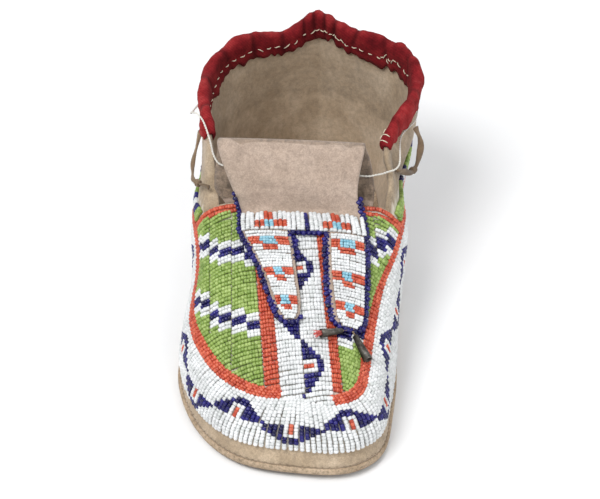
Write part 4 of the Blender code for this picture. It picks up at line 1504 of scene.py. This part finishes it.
def collar_stops():
    """Sides and columns along the collar, between the quarters' fronts."""
    columns = np.arange(VAMP_COLUMNS, LAST_COLUMN + COLLAR_STEP / 2, COLLAR_STEP)
    run = []
    for side, front in (("lateral", COLLAR_FRONT_Y), ("medial", COLLAR_FRONT_Y - MEDIAL_REACH)):
        y = WALL.point(side, columns, WALL.top_at(side, columns))[:, 1]
        kept = [(side, float(k)) for k in columns[y > front]]
        run += kept if side == "lateral" else kept[-2::-1]
    return run


# Pleats of the collar's wool: place as a share of its length from the lateral
# front to the medial front, width, push outwards and slant
PLEATS = (
    (0.03, 3.0, 1.9, 0.3), (0.07, 2.2, -1.7, -0.2), (0.12, 4.0, 1.6, 0.3), (0.16, 1.7, -1.9, 0.2),
    (0.21, 4.5, 1.3, -0.3), (0.255, 1.6, -1.7, 0.4), (0.30, 3.6, 1.6, 0.2), (0.335, 1.6, -1.9, 0.1),
    (0.37, 3.2, 1.6, -0.3), (0.405, 1.6, -2.0, 0.1), (0.435, 2.4, 1.9, 0.2), (0.458, 1.3, -2.3, 0.1),
    (0.471, 1.4, 1.6, -0.1), (0.484, 1.2, -2.4, 0.1), (0.496, 1.3, 1.8, -0.1), (0.508, 1.2, -2.4, 0.05),
    (0.520, 1.4, 1.7, -0.1), (0.534, 1.3, -2.3, -0.1), (0.555, 2.6, 1.7, 0.3), (0.585, 1.5, -1.9, -0.3),
    (0.62, 3.4, 1.6, 0.2), (0.655, 1.7, -1.9, 0.3), (0.69, 3.4, 1.4, -0.3), (0.735, 1.6, -1.8, 0.2),
    (0.79, 4.0, 1.5, 0.4), (0.84, 1.8, -1.7, -0.2), (0.89, 3.6, 1.4, 0.2), (0.94, 1.8, -1.5, 0.2),
)
# How faded the wool is at each point of its profile, from its outer hem over the inside to the crest
# and back; the inside stays in the dark fresh colours as painted shade
FADE_AND_SHADE = (0.6,) * 3 + (0.0,) * 6 + (0.05, 0.1, 0.2, 0.35, 0.6, 0.8, 0.85, 0.8, 0.8, 0.9, 0.8)
# Faces that close the wool's ends, as points of its profile
BINDING_ENDS = (
    (0, 1, 18, 19), (1, 2, 16, 17, 18), (2, 3, 13, 14, 15, 16), (3, 4, 9, 10, 11, 12, 13),
    (4, 5, 6, 7, 8, 9),
)
# The profile's point on which the running stitches lie
STITCHED_POINT = 8


def uneven(rng, count, size):
    """Smooth random values, size stops to a wave, about one unit tall."""
    values = np.convolve(rng.normal(0, 1.0, count + 4 * size), np.hanning(size + 2)[1:-1], "same")
    return (values / values.std())[2 * size : 2 * size + count]


def pleats_at(run, length, down):
    """How far the pleats push the wool out, so far along and down the collar."""
    push = 0.0
    for share, width, out, slant in PLEATS:
        gap = run - share * length - slant * down
        push += out * math.exp(-((gap / width) ** 2))
    return push


def binding_profile(outer, inner, edge):
    """The wool's profile, from its outer hem over the inside and back.

    Each point has its way down from the hide's edge, its way off the hide's
    outer face and its share of the pleats.
    """
    near = -HIDE - BINDING_GAP
    lining = near - CLOTH
    top = BINDING_GAP + CLOTH
    return [
        (outer, BINDING_GAP, 0.3),
        (0.5 * outer, BINDING_GAP, 0.1),
        (-BINDING_GAP, BINDING_GAP, 0.0),
        (-BINDING_GAP, near, 0.0),
        (0.5 * inner, near, 0.0),
        (inner, near - 0.1, -0.2),
        (inner, near - 0.8 * CLOTH, -0.35),
        (0.8 * inner, lining - 0.1, -0.45),
        (0.55 * inner, lining + 0.15, -0.25),
        (0.3 * inner, lining - 0.45, -0.5),
        (0.0, lining - 0.3, -0.35),
        (0.5 * edge, near - 0.8 * CLOTH, -0.15),
        (0.92 * edge, near - 0.1 * CLOTH, 0.1),
        (edge, -0.4 * HIDE, 0.2),
        (0.8 * edge, 0.9 * BINDING_GAP + 0.3 * CLOTH, 0.3),
        (0.0, top + 0.1, 0.45),
        (0.3 * outer, top + 0.35, 0.5),
        (0.62 * outer, top - 0.1, 0.3),
        (0.85 * outer, top + 0.1, 0.45),
        (outer, BINDING_GAP + 0.7 * CLOTH, 0.45),
    ]


def make_binding(rng):
    """Red wool folded over the collar edge, pleated and ragged at its hem."""
    stops = collar_stops()
    count = len(stops)
    run = along(np.array([WALL.point(side, k, WALL.top_at(side, k)) for side, k in stops]))
    hem, high, low = (uneven(rng, count, size) for size in (5, 14, 18))
    rings, creases, fades_and_shade = [], [], []
    for i, (side, k) in enumerate(stops):
        top = WALL.top_at(side, k)
        off = WALL.off(side, k, top)
        short = math.exp(-((run[i] / LATERAL_TAPER) ** 2))
        taper = math.exp(-(((run[-1] - run[i]) / MEDIAL_TAPER) ** 2))
        outer = BINDING_OUTER + 0.6 * hem[i] + 0.6 * low[i]
        outer *= 1.0 - 0.5 * short - 0.8 * taper
        inner = BINDING_INNER + 0.8 * hem[(i + 40) % count] + 0.6 * low[(i + 60) % count]
        inner *= 1.0 - 0.85 * taper
        edge = min(-1.3, -BINDING_GAP - CLOTH - 0.5 - 0.8 * high[i] - 0.25 * hem[i])
        ring = []
        profile = binding_profile(outer, inner, edge)
        for (down, away, share), fade in zip(profile, FADE_AND_SHADE, strict=True):
            pleat = pleats_at(run[i], run[-1], down)
            # Painted shade in the pleats' hollows
            creases.append(min(0.8, max(0.0, -0.35 * pleat - 0.1)))
            # Faded outside, and dark inside as painted shade
            fades_and_shade.append(fade * min(1.0, max(0.0, 0.8 + 0.25 * low[i])))
            away = away + share * pleat
            if away < -HIDE / 2 and down > 0.5:
                away = min(away, -HIDE - 0.1)
            ring.append(WALL.point(side, k, top - down) + away * off)
        rings.append(ring)
    sides = len(FADE_AND_SHADE)
    faces = grid_faces(count, sides, closed=True)
    for start in (0, (count - 1) * sides):
        faces += [tuple(start + i for i in end) for end in BINDING_ENDS]
    made = mesh_object("wool_binding", np.array(rings).reshape(-1, 3), faces, [RED_WOOL])
    add_values(made, "crease", creases)
    add_values(made, "fade", fades_and_shade)
    weld(made)
    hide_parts("collar_binding")
    make_running_stitches(np.array([ring[STITCHED_POINT] for ring in rings]), rng)
    make_end_stitches(rings)


def joined_threads(name, threads, radius, surface):
    """Short stitches of thread, each a tapered tube along its points."""
    tubes = []
    for thread in threads:
        side, up = frames_along(thread)
        shares = np.linspace(0, 1, len(thread))
        size = radius * np.interp(shares, [0, 0.2, 0.8, 1], [0.45, 1, 1, 0.45])[:, None]
        tubes.append((thread, size * side, size * up))
    return tube_mesh(name, tubes, 6, surface)


# Cream stitches over the wool's medial end: each one's stops, counted from
# the end, and its places round the wool's profile
END_STITCHES = (
    ((9, 11.6), (7.5, 11.8), (6, 11.9)),
    ((5.5, 11.6), (5, 12.3), (4.8, 13.2), (4.6, 14.2)),
    ((5, 11.8), (3.5, 11.9), (2, 12.0)),
    ((1.5, 11.7), (1.2, 12.4), (1.0, 13.3), (1.0, 14.3)),
)
STITCH_LIFT = 0.3
# Shares of the collar at which the running stitches are crowded, and where most
# of them are worn away
CROWDED = ((0.455, 0.55), (0.63, 0.70))
WORN_AWAY = 0.72
# Lengths of those stitches and of the gaps between them, crowded and apart
CROWDED_STITCH, CROWDED_GAP = (1.6, 2.8), (-0.4, 0.9)
LOOSE_STITCH, LOOSE_GAP = (2.2, 3.6), (1.8, 3.6)


def make_running_stitches(line, rng):
    """Cream running stitches inside the collar's wool, crowded at its peak."""
    run = along(line)
    middle = line.mean(axis=0)
    arch = np.sin(np.linspace(0, math.pi, 6))[:, None]
    threads, at = [], 4.0
    while at < 0.93 * run[-1]:
        share = at / run[-1]
        crowded = any(start < share < end for start, end in CROWDED)
        length = rng.uniform(*(CROWDED_STITCH if crowded else LOOSE_STITCH))
        step = length + rng.uniform(*(CROWDED_GAP if crowded else LOOSE_GAP))
        if share <= WORN_AWAY or rng.random() <= 0.3:
            spots = at_distances(line, np.linspace(at, at + length, 6))
            inward = unit((middle - spots) * (1.0, 1.0, 0.0))
            tilt = rng.normal(0, 0.5 if crowded else 0.4) * np.linspace(-1, 1, 6)
            spots[:, 2] += tilt + rng.normal(0, 0.6 if crowded else 0.35)
            threads.append(spots + (0.25 + 0.45 * arch) * inward)
        at += step
    stitches = joined_threads("collar_running_stitches", threads, 0.25, SINEW)


def between(values, at):
    """The value at a place that may lie between two whole ones."""
    return (1 - at % 1) * values[int(at)] + at % 1 * values[int(at) + 1]


def make_end_stitches(rings):
    """A few small cream stitches over the edge of the wool's medial end."""
    rings = np.array(rings)[::-1]
    threads = []
    for stitch in END_STITCHES:
        path = []
        for back, spot in stitch:
            ring = between(rings, back)
            point = between(ring, spot)
            path.append(point + STITCH_LIFT * unit(point - (ring[2] + ring[3]) / 2))
        threads.append(smooth_route(path, 9))
    stitches = joined_threads("collar_end_stitches", threads, 0.27, SINEW)


# The sole's stitches: height up the wall, and from one to the next
SEAM_HEIGHT = 0.9
SEAM_PITCH = 3.3


def make_seam(rng):
    """Dark sinew stitches where the upper is sewn round the sole."""
    threads = []
    for side in SIDES:
        columns = np.linspace(0, LAST_COLUMN, 1200)
        line = WALL.point(side, columns, SEAM_HEIGHT)
        line += 0.12 * WALL.off(side, columns, SEAM_HEIGHT)
        for at in np.arange(1.5, along(line)[-1] - 2.0, SEAM_PITCH):
            start = at + rng.normal(0, 0.3)
            spots = at_distances(line, np.linspace(start, start + rng.uniform(0.8, 1.5), 5))
            spots[:, 2] += rng.normal(0, 0.15)
            threads.append(spots)
    stitches = joined_threads("sole_seam_stitches", threads, 0.15, SEAM_SINEW)


# How high the tongue lies over the vamp's hide
TONGUE_LIFT = 2.6
# Rows of the tongue's mesh to a row of its table, and the table's rows at which
# it comes down on the vamp and divides
ROW_STEPS = 8
TONGUE_NAMES = list(TONGUE)
LYING = TONGUE_NAMES.index("touch")
SLIT = TONGUE_NAMES.index("slit top")
# Stands for the height of the rows that lie on the vamp, until it is known
LYING_Z = 60.0
# How much lower the sides of a row are than its middle
DROPS = {"back low": 4.0, "front low": 2.5, "front high": 1.0}
DROP = 0.5
# Points across each prong, and between the prongs
PRONG_POINTS, SLIT_POINTS = 14, 5
# Share of a prong's width by which its tip narrows on each side
TIP_PINCH = 0.42


def tongue_rows():
    """The tongue's rows, evenly spaced along a smooth curve through the table."""
    rows = np.array(list(TONGUE.values()))
    rows[rows[:, 1] == 0.0, 1] = LYING_Z
    table = np.column_stack([rows, [DROPS.get(name, DROP) for name in TONGUE_NAMES]])
    ends = np.vstack([table[:1], table, table[-1:]])
    fine = np.linspace(0, len(rows) - 1, ROW_STEPS * (len(rows) - 1) + 1)
    made = []
    for t in fine:
        i = min(int(t), len(rows) - 2)
        made.append(through(*ends[i : i + 4], t - i))
    return fine, np.array(made)


# Creases of the tongue's front: row and x of both ends, width and depth
TONGUE_CREASES = (
    (4.6, -36.0, 7.4, -24.0, 2.4, -1.6),
    (4.8, -28.0, 7.8, -16.0, 3.2, 1.1),
    (5.4, -8.0, 7.6, 12.0, 4.0, -1.1),
    (5.2, 6.0, 7.4, 24.0, 5.0, 1.0),
    (6.6, -20.0, 6.9, 24.0, 2.6, -0.9),
    (4.4, 24.0, 6.6, 27.0, 3.0, 1.0),
    (1.2, -36.0, 2.8, -24.0, 4.0, 1.4),
    (1.2, 32.0, 3.0, 22.0, 4.0, -1.4),
)
# Distance along the tongue from one row of its table to the next, about
ROW_SIZE = 9.0


def tongue_creases(fine, grid):
    """Pushes out and in of the tongue's hide along its creases."""
    push = np.zeros(grid.shape[:2])
    for row0, x0, row1, x1, width, depth in TONGUE_CREASES:
        a, b = (fine[:, None] - row0) * ROW_SIZE, grid[:, :, 0] - x0
        _, gap = near_segment(a, b, (row1 - row0) * ROW_SIZE, x1 - x0)
        push += depth * np.exp(-((gap / width) ** 2))
    calm = np.clip((LYING - fine) / 0.8, 0, 1) * np.clip(fine / 0.8, 0, 1)
    return -(push * calm[:, None])[:, :, None] * grid_normals(grid)


# The tongue's rear layer is behind the first y, or below the height behind the second; its darkening,
# dirt and painted shade behind the front layer, thins out upwards to a height
REAR_Y = 16.0
REAR_LOW_Y, REAR_LOW_Z = 9.9, 78.0
DARKEST_Z, DARKENING_THINS = 88.0, 26.0


def rear_grime_and_shade(p):
    """How dark the tongue is, in its rear layer most of all low down: dirt, and painted shade behind
    the front layer.
    """
    if p[1] > REAR_Y or (p[1] > REAR_LOW_Y and p[2] < REAR_LOW_Z):
        return 0.6 + 0.4 * min(1.0, max(0.0, (DARKEST_Z - p[2]) / DARKENING_THINS))
    return 0.0


def throat_rim():
    """The throat's edge from side to side, as points from -X to +X."""
    low = WALL.top_at("lateral", VAMP_COLUMNS)
    heights = np.linspace(low, WALL.whole["lateral"][VAMP_COLUMNS * FINE], 30)
    lateral, medial = (WALL.point(side, VAMP_COLUMNS, heights) for side in SIDES)
    return np.vstack([lateral, medial[::-1]])


def tongue_grid(vamp):
    """The tongue's rows of points, from its seam to the tips of its prongs."""
    fine, rows = tongue_rows()
    rim = throat_rim()
    grid = []
    for t, (y, z, left, slit_left, slit_right, right, drop) in zip(fine, rows, strict=True):
        pinch = TIP_PINCH * max(0.0, t - (len(TONGUE) - 2)) ** 3
        ends = []
        for a, b in ((left, slit_left), (slit_right, right)):
            inset = pinch * (b - a)
            ends.append(np.linspace(a + inset, b - inset, PRONG_POINTS))
        slit = np.linspace(ends[0][-1], ends[1][0], SLIT_POINTS + 2)[1:-1]
        x = np.concatenate([ends[0], slit, ends[1]])
        bow = ((x - 0.5 * (left + right)) / (0.5 * (right - left))) ** 2
        y, z = np.full(len(x), y), z - drop * bow
        if t < 1.0:
            seam = read_table(x, rim[:, 0], rim[:, 1:]) + (SEAM_GAP, -0.8)
            above = rows[ROW_STEPS]
            y = (1 - t) * seam[:, 0] + t * above[0]
            z = (1 - t) * seam[:, 1] + t * (above[1] - DROPS["back low"] * bow)
        elif t > LYING - 1.0:
            on_vamp = np.minimum(y, THROAT_Y - 1.0)
            lie = [vamp.height(*spot) for spot in zip(x, on_vamp, strict=True)]
            share = min(1.0, t - LYING + 1.0)
            share = share * share * (3 - 2 * share)
            front_z = TONGUE["front low"][1] - DROPS["front low"] * bow
            z = (1 - share) * front_z + share * (np.array(lie) + TONGUE_LIFT)
        grid.append(np.column_stack([x, y, z]))
    grid = np.array(grid)
    return fine, grid + tongue_creases(fine, grid)


def make_tongue(vamp):
    """The folded tongue with its forked end, in suede a little creased."""
    fine, grid = tongue_grid(vamp)
    width = 2 * PRONG_POINTS + SLIT_POINTS
    slit = range(PRONG_POINTS - 1, PRONG_POINTS + SLIT_POINTS)
    faces = []
    for i in range(len(fine) - 1):
        for j in range(width - 1):
            if fine[i] < SLIT or j not in slit:
                a = i * width + j
                faces.append((a, a + 1, a + width + 1, a + width))
    made = mesh_object("suede_tongue", grid.reshape(-1, 3), faces, [TONGUE_SUEDE])
    weld(made)
    work = bmesh.new()
    work.from_mesh(made.data)
    front = min(work.faces, key=lambda f: f.calc_center_median().y)
    if front.normal.z < 0:
        bmesh.ops.reverse_faces(work, faces=work.faces[:])
    bmesh.ops.delete(work, geom=[v for v in work.verts if not v.link_faces])
    work.to_mesh(made.data)
    work.free()
    # Dirt and painted shade in the rear layer, behind the front layer
    add_values(made, "grime", [rear_grime_and_shade(v.co / MM) for v in made.data.vertices])
    thick = made.modifiers.new("hide", "SOLIDIFY")
    thick.thickness = TONGUE_HIDE * MM
    thick.offset = 1.0
    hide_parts("tongue")
    return fine, grid


# The tongue's band from left to right: strings, and what they carry
BAND = (
    (3, "white"), (2, "side"), (2, "middle"), (3, "side"), (4, "white"), (1, "line"),
    (3, "white"), (2, "side"), (2, "middle"), (2, "side"), (3, "white"),
)
BAND_STRINGS = {
    "white": [WHITE] * 8,
    "side": [WHITE] * 4 + [RED] * 3 + [WHITE],
    "middle": [RED] * 4 + [SKY] * 3 + [WHITE],
    "line": [BLUE] * 8,
}
# Each prong from the band to its tip: rows, what they carry and the middle's beads
PRONG = (
    (2, "white", 0), (3, "cross", 5), (2, "foot", 5), (6, "white", 0), (3, "cross", 3),
    (2, "foot", 3), (5, "white", 0), (3, "cross", 3), (2, "foot", 3), (3, "white", 0),
)
TONGUE_BEAD_LIFT = TONGUE_LIFT + TONGUE_HIDE
BAND_BACK, BAND_FRONT = -0.6, -11.3
PRONG_BACK, PRONG_FRONT = -12.4, -66.4
# Hide left bare beside a prong's beads, and a bead's length across it
PRONG_HEM = 1.5
PRONG_BEAD_LENGTH = 1.5
# Columns of the tongue's table with its edges
LEFT, SLIT_LEFT, SLIT_RIGHT, RIGHT = range(2, 6)
# The edge beads: row of the tongue's table where they start, how far they stand
# out and how far apart they are
EDGING_TOP = 7.25
EDGING_OUT = 0.9
EDGE_PITCH = 1.3


def prong_row(kind, middle, count):
    """Colours across a prong: a red and blue bar, its red foot, or white."""
    colours = np.full(count, RED if kind == "cross" else WHITE)
    if kind != "white":
        first = (count - middle) // 2
        colours[first : first + middle] = SKY if kind == "cross" else RED
    return colours


def tongue_edges():
    """Reads the x of the lying tongue's edges, at distances along the foot."""
    table = tongue_rows()[1][LYING * ROW_STEPS :]
    table = table[np.argsort(table[:, 0])]
    return lambda edge, y: float(np.interp(y, table[:, 0], table[:, edge]))


def prong_strings(beads, vamp, edge_x, a, b):
    """Cross strings down a prong, between its edges a and b."""
    kinds = [(kind, middle) for rows, kind, middle in PRONG for _ in range(rows)]
    ys = np.linspace(PRONG_BACK, PRONG_FRONT, 60)
    line = np.array([vamp.hit(0.5 * (edge_x(a, y) + edge_x(b, y)), y)[0] for y in ys])
    run = along(line)
    pitch = 0.93 * run[-1] / len(kinds)
    for i, (kind, middle) in enumerate(kinds):
        y = float(np.interp((i + 0.5) / len(kinds) * run[-1], run, line[:, 1]))
        x0, x1 = edge_x(a, y) + PRONG_HEM, edge_x(b, y) - PRONG_HEM
        if x1 - x0 < 2 * PRONG_HEM:
            continue
        face = vamp.row(y, 0.02 * math.sin(1.3 * i), x0, x1)
        count = int(round(along(face[0])[-1] / PRONG_BEAD_LENGTH))
        count = max(2, count + int(beads.rng.integers(0, 2)))
        colours = prong_row(kind, middle, count)
        string_on(beads, face, colours, TONGUE_BEAD_LIFT, 0.35, width=pitch)


def band_strings(beads, vamp, edge_x):
    """Upright strings across the tongue, where it comes down on the vamp."""
    strings = [kind for number, kind in BAND for _ in range(number)]
    for i, kind in enumerate(strings):
        share = (i + 0.5) / len(strings)
        back, front = (
            (1 - share) * edge_x(LEFT, y) + share * edge_x(RIGHT, y)
            for y in (BAND_BACK, BAND_FRONT)
        )
        wave = 0.4 * math.sin(1.7 * i)
        face = vamp.line((back, BAND_BACK + wave), (front, BAND_FRONT + 0.3 * wave))
        string_on(beads, face, BAND_STRINGS[kind], TONGUE_BEAD_LIFT, 0.4)


def make_tongue_beads(vamp, rng):
    """The strings of both prongs, and the band above them."""
    beads = Beads(rng)
    edge_x = tongue_edges()
    prong_strings(beads, vamp, edge_x, LEFT, SLIT_LEFT)
    prong_strings(beads, vamp, edge_x, SLIT_RIGHT, RIGHT)
    band_strings(beads, vamp, edge_x)
    made = beads.build("tongue_beads")
    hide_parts("tongue_beadwork")


def edge_stitches(beads, path):
    """Pairs of blue beads zigzagging along an edge."""
    rng = beads.rng
    for i, at in enumerate(np.arange(0.6, along(path)[-1], EDGE_PITCH)):
        at = at + rng.normal(0, 0.22)
        behind, centre, ahead = at_distances(path, [at - 0.5, at, at + 0.5])
        course = unit(ahead - behind)
        across = unit(np.cross(course, [0, 0, 1.0]))
        up = np.cross(across, course)
        sign = 1 if i % 2 else -1
        lean = 0.6 * course + sign * 0.75 * across + rng.normal(0, 0.25) * up
        out = 0.72 * sign + rng.normal(0, 0.18)
        rise = 0.3 * sign + rng.normal(0, 0.2)
        spot = centre + out * across + rise * up
        beads.add([spot], [unit(lean)], [up], [BLUE], [2.0], 2.35)


def make_tongue_edging(fine, grid, rng):
    """Dark blue edge beads round the prongs, the slit and up the sides."""
    beads = Beads(rng)
    normal = grid_normals(grid)
    rise = 0.55 * TONGUE_HIDE * np.sign(normal[-1, 0, 2]) * normal
    first = np.searchsorted(fine, EDGING_TOP)
    slit, last = np.searchsorted(fine, SLIT), len(fine)
    each = PRONG_POINTS

    def edge(column, inner, start, end):
        """One edge of the hide: its points pushed out and half way up."""
        out = unit(grid[start:end, column] - grid[start:end, inner])
        return grid[start:end, column] + EDGING_OUT * out + rise[start:end, column]

    def across(a, b):
        """The end of a prong from one column to another."""
        ahead = unit(grid[-1, a:b] - grid[-2, a:b])
        return grid[-1, a:b] + EDGING_OUT * ahead + rise[-1, a:b]

    left = edge(0, 1, first, last)
    up_left = edge(each - 1, each - 2, last - 9, last)[::-1]
    down_left = edge(each - 1, each - 2, slit + 2, slit + 12)[::-1]
    notch = grid[slit, each - 1 : -each + 1] + (0.0, -1.0, 0.55 * TONGUE_HIDE)
    down_right = edge(-each, -each + 1, slit + 2, last)
    for way in (
        [left, across(1, each - 1), up_left],
        [down_left, notch, down_right, across(-each + 1, -1)],
        [edge(-1, -2, first, last)],
    ):
        edge_stitches(beads, smooth_route(np.vstack(way)[::2], 160))
    beads.build("tongue_edging")


# Middles of the bars across the quarters' green strings, as columns of the
# wall: white between two of blue
QUARTER_BARS = {
    "lateral": (21.75, 25.6, 29.4, 33.2, 37.0),
    "medial": (25.9, 29.6, 33.4, 37.1),
}
# Half the width in columns of a bar's white, and of the bar
BAR_WHITE, BAR_BLUE = 0.30, 0.92
QUARTER_PITCH = 0.31
# Height up the wall of the quarter beads' upper edge, at columns of the wall
QUARTER_TOP = {
    "lateral": {
        20: 49.5, 21.5: 48.5, 23: 48.0, 25: 49.5, 27: 52.5, 29: 55.5, 31: 57.5, 33: 58.0,
        40: 58.0,
    },
    "medial": {
        20: 52.5, 21: 53.5, 22: 51.0, 23: 49.0, 25: 47.0, 27: 47.5, 29: 50.5, 31: 55.0,
        33: 57.0, 40: 58.0,
    },
}


def make_quarter_beads(rng):
    """Green strings up both quarters, from the red lane to the panel's top."""
    beads = Beads(rng)
    for side in SIDES:
        for k in np.arange(VAMP_COLUMNS + 0.25, LAST_COLUMN, QUARTER_PITCH):
            low = float(WALL.red_top(side, k)) + 0.2
            edge = float(read_at(QUARTER_TOP[side], k))
            top = min(max(edge, low + 3.2), float(WALL.top_at(side, k)) - 1.0)
            gap = min(abs(k - bar) for bar in QUARTER_BARS[side])
            colour = WHITE if gap < BAR_WHITE else BLUE if gap < BAR_BLUE else GREEN
            count = bead_count(top - low)
            if count > 1:
                rib_string(beads, side, k, low, top, [colour] * count)
    made = beads.build("quarter_beads", "beads_green")
    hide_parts("quarter_beadwork")


# Hairs in the tuft of the inner cone
HAIRS = 46


def make_tuft(mouth, axis, rng):
    """Red hair drawn into a cone's mouth."""
    hairs = []
    for _ in range(HAIRS):
        spread = rng.normal(0, 0.55, 3)
        tip = mouth + (1.2 + rng.uniform(0, 1.6)) * axis + 1.5 * spread
        middle = mouth + 0.5 * axis + 0.9 * spread + np.array([0, 0, 0.25])
        hairs.append(smooth_route([mouth - 2.0 * axis + 0.5 * spread, middle, tip], 7))
    tuft = joined_threads("cone_hair_tuft", hairs, 0.2, HAIR)


CONE_SIDES = 28
# How far the rolled tin's edge stands out along its seam
SEAM_STEP = 0.22
# How high the beads under the cones stand over the hide
BEADS_DEPTH = 1.9


def make_rolled_cone(name, neck, mouth, axis):
    """The tin, rolled into a cone, with the step of its seam."""
    waist, waist_radius = 0.5 * (neck + mouth), 0.5 * (CONE_NECK + CONE_MOUTH)
    side = unit(np.cross(axis, [0, 0, 1.0]))
    up = np.cross(side, axis)
    outside = [(neck, CONE_NECK), (waist, waist_radius), (mouth, CONE_MOUTH)]
    hollow = [(centre, radius - TIN) for centre, radius in outside]
    out = ellipse(np.zeros(3), side, up, CONE_SIDES)
    seam = SEAM_STEP * np.arange(CONE_SIDES)[:, None] / CONE_SIDES
    points = []
    for centre, radius in (hollow[0], *outside, hollow[2], hollow[1]):
        step = seam if radius > CONE_NECK - TIN / 2 else 0.0
        points.append(centre + (radius + step - 0.5 * SEAM_STEP) * out)
    faces = grid_faces(7, CONE_SIDES, closed=True)
    faces = [tuple(i % (6 * CONE_SIDES) for i in face) for face in faces]
    made = mesh_object(f"tin_cone_{name}_rolled", np.vstack(points), faces, [OLD_TIN])
    weld(made)
    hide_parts(f"tin_cone_{name}")


def make_cone(name, vamp, rng):
    """A tin cone lying on the vamp's beads, and the thong that it hangs on."""
    x0, y0, x1, y1 = CONES[name]
    neck = np.array([x0, y0, vamp.height(x0, y0) + BEADS_DEPTH + CONE_NECK + 0.9])
    mouth = np.array([x1, y1, vamp.height(x1, y1) + BEADS_DEPTH + CONE_MOUTH + 0.5])
    axis = unit(mouth - neck)
    make_rolled_cone(name, neck, mouth, axis)
    if name == "inner":
        make_tuft(mouth, axis, rng)
    start = neck - 2.6 * axis + np.array([0, 0, 0.15])
    path = smooth_route([start, *(neck + at * axis for at in (-1.2, 1.5, 4.0))], 24)
    width, label = 0.5 * CONE_THONG, f"cone_thong_{name}_hide"
    thong = strand_mesh(label, path, width, THONG_HIDE, 8, 9.0, 0.7)
    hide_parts(f"cone_thong_{name}")


# ------------------------------------------------------------------- lighting


def add_area(name, size, energy, spot, aim):
    """A round soft light, aimed at a height over the shoe's middle."""
    light = bpy.data.lights.new(name, "AREA")
    light.shape = "DISK"
    light.size = size
    light.energy = energy
    made = bpy.data.objects.new(name, light)
    made.location = spot
    direction = Vector((0.0, 0.0, aim)) - Vector(spot)
    made.rotation_euler = direction.to_track_quat("-Z", "Y").to_euler()
    bpy.context.scene.collection.objects.link(made)


def add_studio():
    """A pale floor and soft light from above, a little from the left."""
    mesh = bpy.data.meshes.new("studio_floor")
    mesh.from_pydata([(-4, -4, 0), (4, -4, 0), (4, 4, 0), (-4, 4, 0)], [], [(0, 1, 2, 3)])
    floor = bpy.data.objects.new("studio_floor", mesh)
    bpy.context.scene.collection.objects.link(floor)
    s = Surface("pale_floor")
    s.set("Specular IOR Level", 0.1)
    paper = s.ramp(s.noise(60.0, 2.0), [(0.3, 0.86), (0.7, 0.88)])
    mesh.materials.append(s.finish(paper, 0.9))
    add_area("key", 1.3, 38.0, (-0.9, -0.9, 1.9), 0.04)
    add_area("fill", 2.0, 16.0, (1.3, -1.3, 1.3), 0.04)
    add_area("back", 1.4, 12.0, (0.2, 1.6, 1.5), 0.05)
    world = bpy.data.worlds.new("studio")
    world.use_nodes = True
    sky = world.node_tree.nodes["Background"].inputs
    sky["Color"].default_value = (0.95, 0.97, 1.0, 1.0)
    sky["Strength"].default_value = 0.50
    bpy.context.scene.world = world
    bpy.context.scene.view_settings.view_transform = "Standard"


def main():
    """Makes the camera and every piece."""
    rng = np.random.default_rng(SEED)
    add_camera()
    make_cords()
    make_sole()
    upper = make_upper()
    make_border(rng)
    vamp = make_vamp(upper, rng)
    make_quarter_beads(rng)
    fine, grid = make_tongue(vamp)
    make_tongue_beads(vamp, rng)
    make_tongue_edging(fine, grid, rng)
    make_binding(rng)
    make_seam(rng)
    for name in CONES:
        make_cone(name, vamp, rng)
    add_studio()


main()
